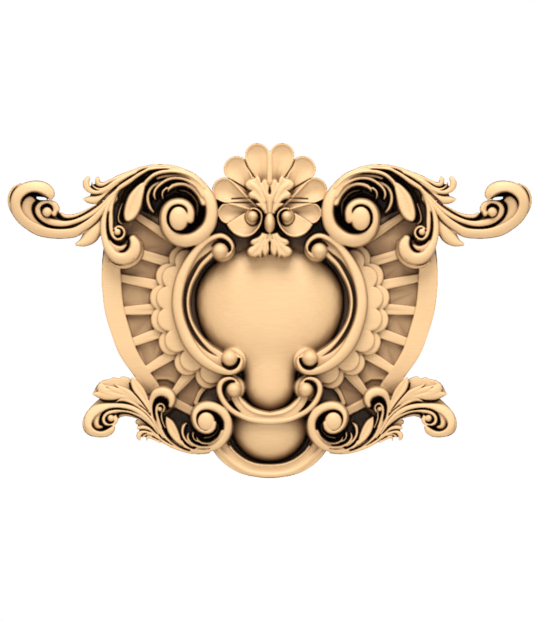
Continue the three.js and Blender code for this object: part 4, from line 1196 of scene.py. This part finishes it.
def paleCarvedWood():
    # Limewood, carved and sanded: even and silky, with fine fibres; the brown and near black in the hollows
    # are painted shade
    material = bpy.data.materials.new("limewoodWithPaintedShade")
    material.use_nodes = True
    tree = material.node_tree
    tree.nodes.clear()
    place = addNode(tree, "ShaderNodeTexCoord").outputs["Object"]
    along, acrossFibres = 1 / (wood["grainLength"] * mm), 1 / (wood["grainWidth"] * mm)
    stretched = addNode(tree, "ShaderNodeMapping", Vector=place, Scale=(along, acrossFibres, acrossFibres))
    fibres = addNode(tree, "ShaderNodeTexNoise", Vector=stretched.outputs[0],
                     Scale=1.0, Detail=3.0, Roughness=0.55)
    patches = addNode(tree, "ShaderNodeTexNoise", Vector=place, Scale=wood["patches"], Detail=2.0)
    figure = addNode(tree, "ShaderNodeMath", {"operation": "MULTIPLY_ADD"},
                     i0=patches.outputs[0], i1=0.6, i2=fibres.outputs[0])
    shade = addNode(tree, "ShaderNodeMapRange", i0=figure.outputs[0], i1=0.55, i2=1.05, i3=0.0, i4=1.0)
    bare = addNode(tree, "ShaderNodeMix", {"data_type": "RGBA"}, i0=shade.outputs[0],
                   i6=linear(wood["base"]), i7=linear(wood["light"]))
    # painted shade: the less of the sky a point sees, the browner its colour, and near black in the deepest
    # hollows
    openness = addNode(tree, "ShaderNodeAttribute", {"attribute_name": "openness"}).outputs["Fac"]
    softShadeMask = addNode(tree, "ShaderNodeMapRange", {"interpolation_type": "SMOOTHSTEP"},
                   i0=openness, i1=wood["softShadeFrom"], i2=wood["softShadeFull"], i3=0.0, i4=wood["softShadeShare"])
    softShaded = addNode(tree, "ShaderNodeMix", {"data_type": "RGBA"}, i0=softShadeMask.outputs[0],
                        i6=bare.outputs[2], i7=linear(wood["paintedSoftShade"]))
    deep = addNode(tree, "ShaderNodeMapRange", {"interpolation_type": "SMOOTHSTEP"},
                   i0=openness, i1=wood["deepShadeFrom"], i2=wood["deepShadeFull"], i3=0.0, i4=wood["deepShadeShare"])
    colour = addNode(tree, "ShaderNodeMix", {"data_type": "RGBA"}, i0=deep.outputs[0],
                     i6=softShaded.outputs[2], i7=linear(wood["paintedDeepShade"]))
    rough = addNode(tree, "ShaderNodeMapRange", i0=figure.outputs[0], i1=0.4, i2=1.2,
                    i3=wood["roughness"] - 0.06, i4=wood["roughness"] + 0.08)
    bump = addNode(tree, "ShaderNodeBump", Strength=wood["grainStrength"],
                   Distance=wood["grainDepth"] * mm, Height=fibres.outputs[0])
    surface = addNode(tree, "ShaderNodeBsdfPrincipled", Base_Color=colour.outputs[2],
                      Roughness=rough.outputs[0], Normal=bump.outputs[0])
    surface.inputs["Specular IOR Level"].default_value = wood["specular"]
    addNode(tree, "ShaderNodeOutputMaterial", Surface=surface.outputs[0])
    return material


cartouche.data.materials.clear()
cartouche.data.materials.append(paleCarvedWood())
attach(cartouche, "root")
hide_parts(panel["node"])
print("wood laid on")


# Studio: pale floor, white surroundings and one broad light from above the front

studio = {
    "floorSize": 12,         # metres, as all in here
    "floorDrop": 0.45,       # how far the floor lies under the panel
    "floor": "#F2F0EC",
    "floorRoughness": 0.9,
    "surround": 1.0,
    "keyPower": 62,
    "keySize": 1.2,
    "keyPlace": (0, -1.0, 1.75),
    "viewHeight": 0.622,     # the picture's height at the panel
    "viewMiddle": (-0.0012, -0.0005),
    "viewAway": 2,
}


def plainMaterial(name, hexColour, roughness):
    material = bpy.data.materials.new(name)
    material.use_nodes = True
    surface = material.node_tree.nodes["Principled BSDF"]
    surface.inputs["Base Color"].default_value = linear(hexColour)
    surface.inputs["Roughness"].default_value = roughness
    return material


bpy.ops.object.select_all(action="DESELECT")
floorHeight = cadBox[0][2] - studio["floorDrop"]
bpy.ops.mesh.primitive_plane_add(size=studio["floorSize"], location=(0, 0, floorHeight))
floor = bpy.context.object
floor.name = "paleFloor"
bpy.ops.object.transform_apply(location=True, rotation=True, scale=True)
floor.data.materials.append(plainMaterial("matteFloor", studio["floor"], studio["floorRoughness"]))

world = bpy.data.worlds.new("whiteStudio")
world.use_nodes = True
background = world.node_tree.nodes["Background"]
background.inputs["Color"].default_value = (1, 1, 1, 1)
background.inputs["Strength"].default_value = studio["surround"]
bpy.context.scene.world = world

key = bpy.data.lights.new("keyLight", "AREA")
key.shape = "SQUARE"
key.size = studio["keySize"]
key.energy = studio["keyPower"]
keyObject = bpy.data.objects.new("keyLight", key)
keyObject.location = studio["keyPlace"]
keyObject.rotation_euler = (math.atan2(-studio["keyPlace"][1], studio["keyPlace"][2]), 0, 0)
bpy.context.scene.collection.objects.link(keyObject)

camera = bpy.data.cameras.new("frontCamera")
camera.type = "ORTHO"
camera.ortho_scale = studio["viewHeight"]
cameraObject = bpy.data.objects.new("frontCamera", camera)
cameraObject.location = (studio["viewMiddle"][0], -studio["viewAway"], studio["viewMiddle"][1])
cameraObject.rotation_euler = (math.pi / 2, 0, 0)
bpy.context.scene.collection.objects.link(cameraObject)
bpy.context.scene.camera = cameraObject
bpy.context.scene.view_settings.view_transform = "Standard"
print("studio set")
